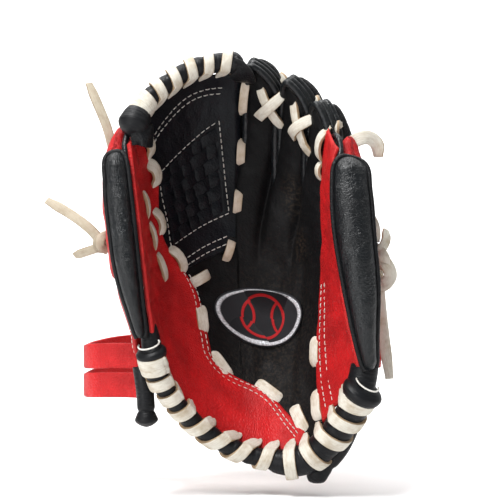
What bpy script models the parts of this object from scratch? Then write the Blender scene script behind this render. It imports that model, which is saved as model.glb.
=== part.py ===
"""A nine-inch youth baseball glove for the left hand, as separate cut, sewn and laced pieces.

The glove is drawn as it is cut: every leather piece is a patch of a flat pattern, and one function, at(),
bends that pattern into the cupped pocket. Pattern coordinates are
    c   across the glove, 0 at the thumb's outer seam and 1 at the little finger's outer seam
    v   up the glove, 0 at the heel edge and 1 at the fingertips and the top of the web
    d   millimetres off the catching face, positive into the pocket, negative towards the hand and back
The fingers point up (+Z), the palm opens towards -Y, and the thumb is on the -X side.
Design lengths are millimetres. add() turns them into metres from the centre of the wrist's back patch.
"""

import math

import bmesh
import bpy
import numpy as np

MM = 0.001

# Driving dimensions of the pocket: its four edges and how deep it is.
HEEL_EDGE = [(-43, -66, 60), (-37.5, -58, 39.5), (-21.5, -48, 19), (2.5, -42, 5), (26.5, -44, 5), (43, -52, 21),
             (55, -62, 42.5)]
CROWN_EDGE = [(-55, -58, 157), (-46.5, -50, 176), (-24.5, -42, 192.5), (0, -38, 195), (23, -40, 184.5),
              (37, -48, 170.5), (44, -58, 155.5)]
THUMB_EDGE = [(-43, -66, 60), (-47.5, -66, 99.5), (-52.5, -62, 139.5), (-55, -58, 157)]
LITTLE_EDGE = [(55, -62, 42.5), (48, -64, 71.5), (42, -64, 113.5), (41.5, -60, 142), (44, -58, 155.5)]
POCKET_DEPTH = 40.0
FULLNESS = (2.4, 0.8)

# The glove's thickness from catching face to back, across the hand, and how it thins at the heel and tips.
THICKNESS_ACROSS = ((0, 13), (0.12, 17), (0.25, 21), (0.6, 24), (0.85, 22), (1, 16.5))
THICKNESS_UP = ((0, 0.45), (0.35, 1), (0.8, 1), (1, 0.62))

# The folds: the pattern lines where the leather creases, the travel of each, and the share of a piece's sweep
# that its own gap at the crease must take.
THUMB_CREASE = 0.25
LITTLE_CREASE = 0.81
LITTLE_CREASE_AT_HEEL = 0.69
FOLD_CLOSE = math.radians(20)
FOLD_OPEN = math.radians(8)
SWEEP_SHARE = 0.55
THUMB_AXIS = ((-41.5, -46, 40), (-46.0, -46, 170))
LITTLE_AXIS = ((38.0, -46, 20), (37.0, -46, 165))

# Materials' thicknesses and the gap that keeps touching pieces apart.
LEATHER = 2.4
GAP = 0.6
FELT = 3.0
LINING = 1.2
WELT_RADIUS = 1.0
WELT_INSET = 1.5
ROLL_RADIUS = 4.4
OPENING_ROLL_RADIUS = 3.8
LACE = (5.8, 1.5)
WEB_PITCH = 9.0
HEEL_PITCH = {"thumb": 9.5, "centre": 12.8, "little": 11.5}
EDGE_CLEAR = 8.2
LACE_RIDE = 1.7
WIND_CLEAR = 1.0

# Where the fingers part, in pattern coordinates.
FINGERS = {"index": (0.522, 0.606), "middle": (0.606, 0.7), "ring": (0.7, LITTLE_CREASE)}
FINGER_BASE = 0.53
SLIT = 0.007
WEB_BOTTOM = 0.47
WEB_RIGHT = 0.508

# The sewn edge where the red heel meets the black palm and the web: (c, v) from the thumb's fold to the heel.
RED_EDGE = ((0.25, 0.57), (0.3, 0.53), (0.35, 0.46), (0.4, 0.37), (0.425, 0.24), (0.445, 0.185), (0.53, 0.175),
            (0.6, 0.15), (0.66, 0.09), (0.7, 0.05))
RED_EDGE_SEAM = 0.006

# The wrist: the centre of the flat back patch is the glove's origin.
PATCH_CENTRE = (0.0, 40.0, 52.0)
STRAP_PATH = [(-52, -30), (-72, -24), (-82, -8), (-77, 12), (-56, 30), (-22, 36), (22, 36), (50, 29), (65, 12),
              (68, -8), (67, -22)]
STRAP_HEIGHT = 12.5
STRAP_THICKNESS = 2.0
LOWER_STRAP_DROP = 14.5
PATCH_SIZE = (30, 1.6, 12.5)
STRAP_STEPS = 44

COLOURS = {
    "black_leather": ((0.012, 0.013, 0.015), 0.45),
    "red_leather": ((0.55, 0.012, 0.014), 0.5),
    "lace_leather": ((0.72, 0.66, 0.56), 0.7),
    "lining_leather": ((0.42, 0.27, 0.15), 0.8),
    "felt": ((0.35, 0.34, 0.32), 0.95),
    "hook_fabric": ((0.02, 0.02, 0.022), 0.95),
    "badge_print": ((0.55, 0.56, 0.58), 0.35),
}


def edge_curve(points):
    """A smooth curve through the points, as a function of the share of its length."""
    points = np.array(points, float)
    steps = np.linalg.norm(np.diff(points, axis=0), axis=1)
    marks = np.concatenate([[0], np.cumsum(steps)]) / steps.sum()
    ends = np.vstack([2 * points[0] - points[1], points, 2 * points[-1] - points[-2]])

    def at_share(share):
        share = min(max(share, 0.0), 1.0)
        i = min(int(np.searchsorted(marks, share, side="right")) - 1, len(points) - 2)
        w = (share - marks[i]) / (marks[i + 1] - marks[i])
        a, b, c, e = ends[i : i + 4]
        return 0.5 * (2 * b + (c - a) * w + (2 * a - 5 * b + 4 * c - e) * w**2 + (3 * b - a - 3 * c + e) * w**3)

    return at_share


HEEL, CROWN = edge_curve(HEEL_EDGE), edge_curve(CROWN_EDGE)
THUMB_SIDE, LITTLE_SIDE = edge_curve(THUMB_EDGE), edge_curve(LITTLE_EDGE)


def smooth(x, low, high):
    x = min(max((x - low) / (high - low), 0.0), 1.0)
    return x * x * (3 - 2 * x)


def little_crease(v):
    """The little finger's crease leans in towards the heel."""
    return LITTLE_CREASE_AT_HEEL + (LITTLE_CREASE - LITTLE_CREASE_AT_HEEL) * smooth(v, 0.1, 0.7)


def share_across(c, v):
    """Pattern coordinate c as a share of the pocket's width, with the fingers gathered towards the heel."""
    crease = little_crease(v)
    if c <= 0.5:
        return c
    if c <= LITTLE_CREASE:
        return 0.5 + (c - 0.5) * (crease - 0.5) / (LITTLE_CREASE - 0.5)
    return crease + (c - LITTLE_CREASE) * (1 - crease) / (1 - LITTLE_CREASE)


def pocket(s, v):
    """The catching face: a patch between the four edges, pushed back into a bowl."""
    turn = (s - 0.5) * math.pi
    u = 0.5 + 0.5 * math.sin(turn)
    flat = (1 - v) * HEEL(u) + v * CROWN(u) + (1 - u) * THUMB_SIDE(v) + u * LITTLE_SIDE(v)
    corners = (1 - v) * ((1 - u) * HEEL(0) + u * HEEL(1)) + v * ((1 - u) * CROWN(0) + u * CROWN(1))
    fullness = max(1 - abs(2 * v - 1) ** FULLNESS[0], 0.0) ** FULLNESS[1]
    return flat - corners + np.array((0, POCKET_DEPTH * math.cos(turn) * fullness, 0))


def inward(s, v):
    """The unit normal of the catching face, pointing into the pocket."""
    s, v, step = min(max(s, 0.02), 0.98), min(max(v, 0.03), 0.97), 0.01
    across = pocket(s + step, v) - pocket(s - step, v)
    up = pocket(s, v + step) - pocket(s, v - step)
    normal = np.cross(across, up)
    return normal / np.linalg.norm(normal)


def at(c, v, d=0.0):
    s = share_across(c, v)
    return pocket(s, v) + inward(s, v) * d


def thickness(c, v):
    across = np.interp(c, *zip(*THICKNESS_ACROSS))
    return float(across * np.interp(v, *zip(*THICKNESS_UP)))


# The two faces of the leather on the glove's back, for slab().
BACK = (lambda c, v: LEATHER - thickness(c, v), lambda c, v: -thickness(c, v))


def millimetres_per_c(c, v):
    return float(np.linalg.norm(at(c + 0.01, v) - at(c - 0.01, v))) / 0.02


def fold_room(crease, v, d, margin=0.0):
    """How far, in c, a piece stands back from a crease, so that the fold never presses it into a neighbour."""
    axis_y = THUMB_AXIS[0][1] if crease == THUMB_CREASE else LITTLE_AXIS[0][1]
    behind = at(crease, v, d)[1] - axis_y
    swept = max((behind + margin) * FOLD_OPEN, (margin - behind) * FOLD_CLOSE, 0.0)
    return (GAP + SWEEP_SHARE * swept) / millimetres_per_c(crease, v)


def roll_room(crease):
    """The same at the heel edge, measured at the outside of the laced roll."""
    return fold_room(crease, 0.0, 7.0, 3.0)


def red_edge(c):
    return float(np.interp(c, *zip(*RED_EDGE)))


def clear_of_edge(c, edge):
    """The v at which the leather stops, EDGE_CLEAR away from the roll on the heel (0) or crown (1) edge."""
    near, far = edge, 0.5
    start = at(c, edge)
    for _ in range(20):
        v = (near + far) / 2
        if np.linalg.norm(at(c, v) - start) < EDGE_CLEAR:
            near = v
        else:
            far = v
    return far


# ---------------------------------------------------------------- making objects

materials = {}
bodies = {}


def material(name):
    if name not in materials:
        colour, roughness = COLOURS[name]
        made = bpy.data.materials.new(name)
        made.use_nodes = True
        shader = made.node_tree.nodes["Principled BSDF"]
        shader.inputs["Base Color"].default_value = (*colour, 1)
        shader.inputs["Roughness"].default_value = roughness
        made.diffuse_color = (*colour, 1)
        materials[name] = made
    return materials[name]


def body(name, point):
    """An empty on a joint's axis, which every piece of that moving group hangs from."""
    empty = bpy.data.objects.new("body_" + name, None)
    empty.location = [(p - o) * MM for p, o in zip(point, PATCH_CENTRE)]
    bpy.context.scene.collection.objects.link(empty)
    bodies[name] = (empty, np.array(point, float))


def add(name, body_name, material_name, points, faces):
    """One named piece, from design-space points in millimetres."""
    empty, pivot = bodies[body_name]
    mesh = bpy.data.meshes.new(name)
    mesh.from_pydata([tuple((np.array(p) - pivot) * MM) for p in points], [], faces)
    shape = bmesh.new()
    shape.from_mesh(mesh)
    bmesh.ops.recalc_face_normals(shape, faces=shape.faces)
    shape.to_mesh(mesh)
    shape.free()
    mesh.materials.append(material(material_name))
    mesh.shade_smooth()
    mesh.set_sharp_from_angle(angle=math.radians(40))
    piece = bpy.data.objects.new(name, mesh)
    piece.parent = empty
    bpy.context.scene.collection.objects.link(piece)
    return piece


def spread(count, limits):
    """Columns spaced evenly between limits(v, d)."""

    def column(i, v, d):
        low, high = limits(v, d)
        return low + (high - low) * i / count

    return count, column


def ruled(count, limits):
    """Rows spaced evenly between limits(c)."""

    def row(j, c):
        low, high = limits(c)
        return low + (high - low) * j / count

    return count, row


def slab(name, body_name, material_name, columns, rows, depth, keep=None):
    """A patch of the pattern with a thickness.

    columns is (count, c of column i at v and d), rows is (count, v of row j at c), depth is the two d limits
    (front, back) as numbers or functions of c and v, and keep(i, j) says which cells exist.
    """
    faces_at = [x if callable(x) else (lambda c, v, x=x: x) for x in depth]
    points, index = [], {}

    def corner(i, j, side):
        if (i, j, side) not in index:
            d = faces_at[side](0.5, 0.4)
            v = rows[1](j, columns[1](i, 0.4, d))
            c = columns[1](i, v, d)
            index[i, j, side] = len(points)
            points.append(at(c, v, faces_at[side](c, v)))
        return index[i, j, side]

    exists = {(i, j) for i in range(columns[0]) for j in range(rows[0]) if keep is None or keep(i, j)}
    faces = []
    for i, j in sorted(exists):
        ring = [(i, j), (i + 1, j), (i + 1, j + 1), (i, j + 1)]
        faces.append([corner(*p, 0) for p in ring])
        faces.append([corner(*p, 1) for p in reversed(ring)])
        for k, neighbour in enumerate([(i, j - 1), (i + 1, j), (i, j + 1), (i - 1, j)]):
            if neighbour not in exists:
                a, b = ring[k], ring[(k + 1) % 4]
                faces.append([corner(*b, 0), corner(*a, 0), corner(*a, 1), corner(*b, 1)])
    return add(name, body_name, material_name, points, faces)


def rings_to_faces(count, sides, first=0):
    """Quads between consecutive rings of points."""
    faces = []
    for r in range(count - 1):
        for k in range(sides):
            a, b = first + r * sides + k, first + r * sides + (k + 1) % sides
            faces.append([a, b, b + sides, a + sides])
    return faces


def sweep(name, body_name, material_name, path, section, up):
    """A section carried along a path. Its y axis follows up, a vector for each point of the path."""
    path, up = np.array(path, float), np.array(up, float)
    tangents = np.gradient(path, axis=0)
    points = []
    for p, t, n in zip(path, tangents, up):
        t = t / np.linalg.norm(t)
        side = np.cross(t, n)
        side /= np.linalg.norm(side)
        n = np.cross(side, t)
        points += [p + side * x + n * y for x, y in section]
    sides = len(section)
    faces = rings_to_faces(len(path), sides)
    faces.append(list(range(sides))[::-1])
    faces.append(list(range(len(points) - sides, len(points))))
    return add(name, body_name, material_name, points, faces)


def round_section(radius, sides=8):
    turns = [2 * math.pi * k / sides for k in range(sides)]
    return [(radius * math.cos(a), radius * math.sin(a)) for a in turns]


def flat_section(width, height):
    w, h = width / 2, height / 2
    return [(w, -h), (w, h), (-w, h), (-w, -h)]


# ---------------------------------------------------------------- the pieces


def between(low, high):
    """Constant limits, for slab()."""
    return lambda *_: (low, high)


def root_limits(low=None, high=None):
    """c limits of a piece on the palm, which stops short of a crease where no limit is given."""

    def limits(v, d):
        left = THUMB_CREASE + fold_room(THUMB_CREASE, v, d) if low is None else low
        right = LITTLE_CREASE - fold_room(LITTLE_CREASE, v, d) if high is None else high
        return left, right

    return limits


def thumb_limits(low):
    return lambda v, d: (low, THUMB_CREASE - fold_room(THUMB_CREASE, v, d))


def little_limits(high):
    return lambda v, d: (LITTLE_CREASE + fold_room(LITTLE_CREASE, v, d), high)


def palm_shell():
    """The black palm: one cut piece that runs up into the fronts of the three middle fingers."""
    lines = [0.386, 0.406, 0.431, 0.451, WEB_RIGHT + 0.004]
    first_finger = len(lines) - 1
    for low, high in FINGERS.values():
        lines += [low + SLIT, (low + high) / 2, high - SLIT]
    heights = [0.0, 0.1, 0.17, 0.25, 0.33, 0.4, WEB_BOTTOM - 0.013, FINGER_BASE, 0.62, 0.71, 0.8, 0.88, 0.94,
               0.985]
    finger_row = heights.index(FINGER_BASE)
    level = finger_row - 1

    def column(i, v, d):
        return root_limits()(v, d)[1] if i == len(lines) - 1 else lines[i]

    def row(j, c):
        sewn = red_edge(c - RED_EDGE_SEAM) + RED_EDGE_SEAM if c < RED_EDGE[-1][0] else 0.0
        low = max(sewn, clear_of_edge(c, 0))
        if j > level:
            return heights[j]
        return low + (heights[level] - low) * heights[j] / heights[level]

    def keep(i, j):
        in_slit = i > first_finger and (i - first_finger) % 3 == 0
        if i < first_finger:
            return j < level
        return j < finger_row or not in_slit

    slab("palm_shell", "palm", "black_leather", (len(lines) - 1, column), (len(heights) - 1, row),
         (0.0, -LEATHER), keep)


def heel_panel():
    """The red heel: from the thumb's fold along the heel edge, with a curved sewn edge towards the palm."""
    lines = [None, 0.3, 0.35, 0.4, 0.425, 0.445, 0.49, 0.53, 0.565, 0.6, 0.66, 0.688]

    def column(i, v, d):
        return root_limits()(v, d)[0] if i == 0 else lines[i]

    _, row = ruled(5, lambda c: (clear_of_edge(c, 0), red_edge(c)))
    slab("heel_panel", "palm", "red_leather", (len(lines) - 1, column), (5, row), (0.0, -LEATHER))


def stall(name, body_name, material_name, limits, base, tip, front_d=-5.8):
    """A sleeve that holds one finger: closed at its tip and open at its base."""
    sides, shoulder, smallest = 12, 0.8, 0.35
    wall, inset, tip_wall = 2.2, 1.4, 0.018
    shares = [0, 0.3, 0.6, shoulder, 0.93, 1.0]
    turns = [2 * math.pi * k / sides for k in range(sides)]

    def ring(share, inner):
        v_tip = tip - (tip_wall if inner else 0.0)
        v = base + (v_tip - base) * share
        c_low, c_high = limits(v, -thickness(0.5, v) / 2)
        middle, half = (c_low + c_high) / 2, (c_high - c_low) / 2
        close = math.sqrt(max(1 - max((share - shoulder) / (1 - shoulder), 0) ** 2, smallest**2))
        half_mm = half * millimetres_per_c(middle, v)
        wide = (half_mm - inset - (wall if inner else 0)) * close / half_mm * half
        back_d = -thickness(middle, v)
        deep = ((front_d - back_d) / 2 - (wall if inner else 0)) * close
        points = []
        for turn in turns:
            x, y = math.cos(turn), math.sin(turn)
            grow = (abs(x) ** 3 + abs(y) ** 3) ** (-1 / 3)
            points.append(at(middle + wide * x * grow, v, (front_d + back_d) / 2 + deep * y * grow))
        return points

    outer = [p for share in shares for p in ring(share, False)]
    inner = [p for share in shares for p in ring(share, True)]
    first_inner = len(outer)
    faces = rings_to_faces(len(shares), sides)
    faces += [face[::-1] for face in rings_to_faces(len(shares), sides, first_inner)]
    faces.append(list(range(first_inner - sides, first_inner)))
    faces.append(list(range(len(outer) + len(inner) - sides, len(outer) + len(inner)))[::-1])
    for k in range(sides):
        after = (k + 1) % sides
        faces.append([after, k, first_inner + k, first_inner + after])
    return add(name, body_name, material_name, outer + inner, faces)


def welt(name, body_name, limits, base, tip, d=-4.1):
    """The rolled strip sewn between a finger's front and back: up a side, over the tip, down the other side."""
    corner, run_steps, tip_steps = 0.035, 6, 8
    steps = [base + (tip - corner - base) * k / run_steps for k in range(run_steps + 1)]
    path = []
    for v in steps:
        low, _ = limits(v, d)
        path.append(at(low + WELT_INSET / millimetres_per_c(low + 0.01, v), v, d))
    for k in range(1, tip_steps):
        turn = math.pi * k / tip_steps
        v = tip - corner + corner * math.sin(turn)
        low, high = limits(v, d)
        middle, half = (low + high) / 2, (high - low) / 2
        path.append(at(middle - (half - WELT_INSET / millimetres_per_c(middle, v)) * math.cos(turn), v, d))
    for v in reversed(steps):
        _, high = limits(v, d)
        path.append(at(high - WELT_INSET / millimetres_per_c(high - 0.01, v), v, d))
    normal = inward(share_across(sum(limits(0.8, d)) / 2, 0.8), 0.8)
    return sweep(name, body_name, "black_leather", path, round_section(WELT_RADIUS, 6), [normal] * len(path))


def outer_side(edge, v):
    """At an outer seam (edge 0 or 1): the point on the catching face, the normal, and the way out."""
    inside = 0.03 if edge == 0 else 0.97
    away = at(edge, v) - at(inside, v)
    normal = inward(share_across(edge, v), v)
    away -= normal * float(away @ normal)
    return at(edge, v), normal, away / np.linalg.norm(away)


def gusset_rings(edge, span, bulge, wall, arc_steps=8):
    """Cross-sections of the padded outer side panel: half an ellipse on the seams of front and back."""
    low, high = span
    shoulder, taper = 0.85, 0.17
    rings = []
    for share in (0, 0.12, 0.3, 0.5, 0.7, shoulder, 0.95, 1.0):
        v = low + (high - low) * share
        point, normal, away = outer_side(edge, v)
        thick = thickness(edge, v)
        close = math.sqrt(max(1 - max((share - shoulder) / taper, 0) ** 2, 0.0))
        half = (thick / 2 - wall) * close
        rise = (bulge * (0.75 + 0.25 * math.sin(math.pi * share)) - wall) * close
        centre = point - normal * thick / 2 + away * GAP
        rings.append([centre + normal * half * math.cos(t) + away * rise * math.sin(t)
                      for t in (math.pi * k / arc_steps for k in range(arc_steps + 1))])
    return rings


def gusset(prefix, body_name, edge, span, bulge):
    """The leather side panel, its felt core and the piping round it."""
    wall = 1.8
    outer = gusset_rings(edge, span, bulge, 0.0)
    inner = gusset_rings(edge, span, bulge, wall)
    loops = [a + b[::-1] for a, b in zip(outer, inner)]
    sides = len(loops[0])
    points = [p for loop in loops for p in loop]
    faces = rings_to_faces(len(loops), sides)
    arc = sides // 2
    for k in range(arc - 1):
        faces.append([k + 1, k, sides - 1 - k, sides - 2 - k])
        last = len(points) - sides
        faces.append([last + k, last + k + 1, last + sides - 2 - k, last + sides - 1 - k])
    if edge == 0:
        faces = [face[::-1] for face in faces]
    add(prefix + "_side_panel", body_name, "black_leather", points, faces)

    core = gusset_rings(edge, (span[0] + 0.02, span[1] - 0.05), bulge, wall + 1.4 * GAP)
    sides = len(core[0])
    points = [p for ring in core for p in ring]
    faces = rings_to_faces(len(core), sides)
    faces.append(list(range(sides))[::-1])
    faces.append(list(range(len(points) - sides, len(points))))
    if edge == 0:
        faces = [face[::-1] for face in faces]
    add(prefix + "_side_core", body_name, "felt", points, faces)

    front, back = [], []
    for k in range(9):
        v = span[0] + (span[1] - 0.01 - span[0]) * k / 8
        point, normal, away = outer_side(edge, v)
        thick = thickness(edge, v)
        front.append(point + normal * (WELT_RADIUS + 0.9) + away * 2.4)
        back.append(point - normal * (thick + WELT_RADIUS + 0.6) + away * 2.0)
    point, normal, away = outer_side(edge, span[1] + 0.025)
    crown = [point - normal * thick * share + away * 2.2 for share in (0.1, 0.3, 0.5, 0.7, 0.9)]
    path = front + crown + back[::-1]
    _, _, away = outer_side(edge, 0.6)
    section = round_section(WELT_RADIUS, 6)
    sweep(prefix + "_piping", body_name, "black_leather", path, section, [away] * len(path))


def heel_share(c):
    """The share along the heel edge that lies under pattern coordinate c."""
    return 0.5 + 0.5 * math.sin((share_across(c, 0.0) - 0.5) * math.pi)


def heel_frame(share):
    """A point of the heel edge, its direction, and the way into the glove's body from there."""
    share = min(max(share, 0.01), 0.99)
    point = HEEL(share)
    along = HEEL(share + 0.01) - HEEL(share - 0.01)
    along /= np.linalg.norm(along)
    facing = np.array((0.0, -1.0, 0.0))
    facing -= along * float(facing @ along)
    return point, along, facing / np.linalg.norm(facing)


def roll(name, body_name, low, high, frame, steps=8):
    """A padded leather roll along an edge, rounded at its ends."""
    shares = [low + (high - low) * k / steps for k in range(steps + 1)]
    path = [frame(share)[0] for share in shares]
    up = [frame(share)[2] for share in shares]
    return sweep(name, body_name, "black_leather", path, round_section(ROLL_RADIUS), up)


def whip_lace(name, body_name, low, high, frame, pitch):
    """A lace that winds round a roll, one turn to each pitch."""
    marks = [frame(low + (high - low) * k / 8)[0] for k in range(9)]
    length = sum(float(np.linalg.norm(b - a)) for a, b in zip(marks, marks[1:]))
    turns = length / pitch
    steps = int(turns * 9)
    path, up = [], []
    for k in range(steps + 1):
        share = low + (high - low) * k / steps
        point, along, facing = frame(share)
        across = np.cross(along, facing)
        turn = 2 * math.pi * turns * k / steps
        outwards = facing * math.cos(turn) + across * math.sin(turn)
        path.append(point + outwards * (ROLL_RADIUS + LACE[1] / 2 + WIND_CLEAR))
        up.append(outwards)
    return sweep(name, body_name, "lace_leather", path, flat_section(*LACE), up)


def heel_piece(suffix, body_name, c_low, c_high, pitch, steps):
    low, high = heel_share(c_low), heel_share(c_high)
    roll("heel_roll_" + suffix, body_name, low, high, heel_frame, steps=steps)
    whip_lace("heel_lace_" + suffix, body_name, low + 0.02, high - 0.02, heel_frame, pitch)


def crown_frame(share):
    share = min(max(share, 0.01), 0.99)
    along = CROWN(share + 0.01) - CROWN(share - 0.01)
    along /= np.linalg.norm(along)
    facing = np.array((0.0, -1.0, 0.0))
    facing -= along * float(facing @ along)
    return CROWN(share), along, facing / np.linalg.norm(facing)


def flat_lace(name, body_name, stops, width=LACE[0]):
    """A length of lace lying on the leather through pattern points (c, v)."""
    path, up = [], []
    for (c0, v0), (c1, v1) in zip(stops, stops[1:]):
        for k in range(4):
            c, v = c0 + (c1 - c0) * k / 4, v0 + (v1 - v0) * k / 4
            path.append(at(c, v, LACE_RIDE))
            up.append(inward(share_across(c, v), v))
    path.append(at(*stops[-1], LACE_RIDE))
    up.append(inward(share_across(*stops[-1]), stops[-1][1]))
    return sweep(name, body_name, "lace_leather", path, flat_section(width, LACE[1]), up)


def crossed_lace(name, c, v):
    """The X of lace that ties two fingertips together, as one crossed piece."""
    ride = 2.4
    reach = ((0.032, -0.042), (0.026, 0.046), (-0.032, 0.036), (-0.026, -0.04))
    middle = at(c, v, ride)
    normal = inward(share_across(c, v), v)
    ends = [at(c + dc, v + dv, ride) for dc, dv in reach]
    arms = []
    for end in ends:
        arm = end - middle
        arms.append(arm - normal * float(arm @ normal))
    points = []
    for height in (LACE[1], 0.0):
        lift = middle + normal * height
        for k, arm in enumerate(arms):
            after = arms[(k + 1) % 4]
            along, next_along = arm / np.linalg.norm(arm), after / np.linalg.norm(after)
            side = np.cross(normal, along)
            corner = (along + next_along) * LACE[0] / 2 / (1 + float(along @ next_along))
            points += [lift + arm - side * LACE[0] / 2, lift + arm + side * LACE[0] / 2, lift + corner]
    count = len(points) // 2
    core = [2, 5, 8, 11]
    faces = [core, [k + count for k in reversed(core)]]
    for k in range(4):
        before = (3 * k - 1) % count
        arm = [before, 3 * k, 3 * k + 1, 3 * k + 2]
        faces.append(arm)
        faces.append([i + count for i in reversed(arm)])
    for k in range(count):
        after = (k + 1) % count
        faces.append([after, k, k + count, after + count])
    return add(name, "palm", "lace_leather", points, faces)


def badge():
    """The oval badge pressed on the palm."""
    centre, reach, sides = (0.575, 0.352), (0.14, 0.075), 20
    rim = [(centre[0] + reach[0] * math.cos(2 * math.pi * k / sides),
            centre[1] + reach[1] * math.sin(2 * math.pi * k / sides)) for k in range(sides)]
    points = []
    for d in (2.4, 1.5):
        points.append(at(*centre, d))
        for scale in (0.5, 1.0):
            points += [at(centre[0] + (c - centre[0]) * scale, centre[1] + (v - centre[1]) * scale, d)
                       for c, v in rim]
    layer = 1 + 2 * sides
    faces = []
    for k in range(sides):
        after = (k + 1) % sides
        faces.append([0, 1 + k, 1 + after])
        faces.append([1 + k, 1 + sides + k, 1 + sides + after, 1 + after])
        faces.append([layer, layer + 1 + after, layer + 1 + k])
        faces.append([layer + 1 + after, layer + 1 + sides + after, layer + 1 + sides + k, layer + 1 + k])
        rim_k, rim_after = 1 + sides + k, 1 + sides + after
        faces.append([rim_after, rim_k, layer + rim_k, layer + rim_after])
    add("palm_badge", "palm", "badge_print", points, faces)


def strap(name, body_name, drop, first, last, push=0.0, height=STRAP_HEIGHT, thick=STRAP_THICKNESS,
          colour="red_leather"):
    """A band round the back of the wrist, from one step of the strap's path to another."""
    course = edge_curve([(x, y, 0) for x, y in STRAP_PATH])
    path, up = [], []
    for k in range(first, last + 1):
        share = k / STRAP_STEPS
        along = course(min(share + 0.01, 1)) - course(max(share - 0.01, 0))
        outwards = np.cross((0, 0, 1.0), along)
        outwards /= np.linalg.norm(outwards)
        centre = course(share) + outwards * push
        path.append((centre[0], centre[1], PATCH_CENTRE[2] - drop))
        up.append(outwards)
    return sweep(name, body_name, colour, path, flat_section(height, thick), up)


def box_piece(name, body_name, colour, centre, size):
    x, y, z = (s / 2 for s in size)
    points = [np.array(centre) + (i * x, j * y, k * z) for k in (-1, 1) for j in (-1, 1) for i in (-1, 1)]
    faces = [[0, 2, 3, 1], [4, 5, 7, 6], [0, 1, 5, 4], [2, 6, 7, 3], [0, 4, 6, 2], [1, 3, 7, 5]]
    return add(name, body_name, colour, points, faces)


def ball_roll(name, body_name, points):
    """A padded roll through the points, with a swollen rounded lower end."""
    swelling = ((0, 0.45), (0.02, 0.95), (0.06, 1.25), (0.12, 1.2), (0.18, 1), (0.3, 1), (0.45, 1), (0.6, 1),
                (0.8, 0.95), (1, 0.8))
    course = edge_curve(points)
    path = np.array([course(share) for share, _ in swelling])
    rings = []
    for p, t, (_, size) in zip(path, np.gradient(path, axis=0), swelling):
        t = t / np.linalg.norm(t)
        side = np.cross(t, (0, 1.0, 0))
        side /= np.linalg.norm(side)
        facing = np.cross(side, t)
        rings += [p + side * x * size + facing * y * size for x, y in round_section(OPENING_ROLL_RADIUS)]
    faces = rings_to_faces(len(path), 8)
    faces.append(list(range(8))[::-1])
    faces.append(list(range(len(rings) - 8, len(rings))))
    return add(name, body_name, "black_leather", rings, faces)


def lace_tail(name, body_name, points):
    """A loose end of lace."""
    width = 4.6
    course = edge_curve(points)
    path = [course(k / 8) for k in range(9)]
    facing = np.array((0.0, -1.0, 0.0))
    return sweep(name, body_name, "lace_leather", path, flat_section(width, LACE[1]), [facing] * len(path))


def knot(name, body_name, centre, size):
    """A tied knot: a rounded lump with eight sides."""
    x, y, z = (s / 2 for s in size)
    levels = ((-1, 0.45), (-0.55, 0.9), (0.55, 0.9), (1, 0.45))
    points = []
    for height, scale in levels:
        for px, py in round_section(1.0):
            points.append(np.array(centre) + (px * x * scale, py * y * scale, height * z))
    faces = rings_to_faces(len(levels), 8)
    faces.append(list(range(8))[::-1])
    faces.append(list(range(24, 32)))
    return add(name, body_name, "lace_leather", points, faces)


def thumb_pieces():
    slab("thumb_panel", "thumb", "red_leather", spread(4, thumb_limits(0.004)),
         ruled(10, lambda c: (clear_of_edge(c, 0), 0.98 - 0.2 * c)), (0.0, -LEATHER))
    stall("thumb_stall", "thumb", "red_leather", thumb_limits(0.02), 0.34, 0.985, front_d=-4.2)
    slab("thumb_heel_pad", "thumb", "felt", spread(3, thumb_limits(0.09)), ruled(3, between(0.1, 0.3)),
         (-3.5, -3.1 - FELT))
    slab("thumb_heel_back", "thumb", "red_leather", spread(3, thumb_limits(0.03)), ruled(3, between(0.1, 0.325)),
         BACK)
    gusset("thumb", "thumb", 0, (0.05, 0.94), 8.0)
    flat_lace("web_thumb_lace_upper", "thumb", [(0.213, 0.87), (0.225, 0.75)])
    flat_lace("web_thumb_lace_lower", "thumb", [(0.225, 0.68), (0.225, 0.5)])
    heel_piece("thumb_side", "thumb", 0.0, THUMB_CREASE - roll_room(THUMB_CREASE), HEEL_PITCH["thumb"], 6)
    ball_roll("opening_roll_thumb_side", "thumb", [(-48.5, -50, 21), (-49, -50, 36), (-50.5, -49, 47)])
    lace_tail("thumb_tip_tail", "thumb", [(-67, -41, 160), (-70, -38, 171), (-77, -32, 186)])


def little_finger_pieces():
    slab("little_finger_panel", "little_finger", "red_leather", spread(4, little_limits(0.996)),
         ruled(10, lambda c: (clear_of_edge(c, 0), 0.975)), (0.0, -LEATHER))
    stall("little_finger_stall", "little_finger", "red_leather", little_limits(0.98), 0.38, 0.985, front_d=-4.2)
    slab("little_heel_pad", "little_finger", "felt", spread(3, little_limits(0.96)), ruled(3, between(0.1, 0.33)),
         (-3.6, -3.6 - FELT))
    slab("little_heel_back", "little_finger", "red_leather", spread(3, little_limits(0.97)),
         ruled(3, between(0.1, 0.365)), BACK)
    gusset("little_finger", "little_finger", 1, (0.05, 0.95), 8.0)
    heel_piece("little_side", "little_finger", LITTLE_CREASE + roll_room(LITTLE_CREASE), 1.0,
               HEEL_PITCH["little"], 6)
    ball_roll("opening_roll_little_side", "little_finger", [(33, -42, -9), (50, -45, 12), (58.5, -47, 35)])
    knot("little_finger_knot", "little_finger", (66, -46, 107), (7, 7, 9))
    lace_tail("little_finger_curl", "little_finger",
              [(52, -44, 156), (58, -44, 158), (63, -42, 154), (61, -40, 149)])


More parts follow.
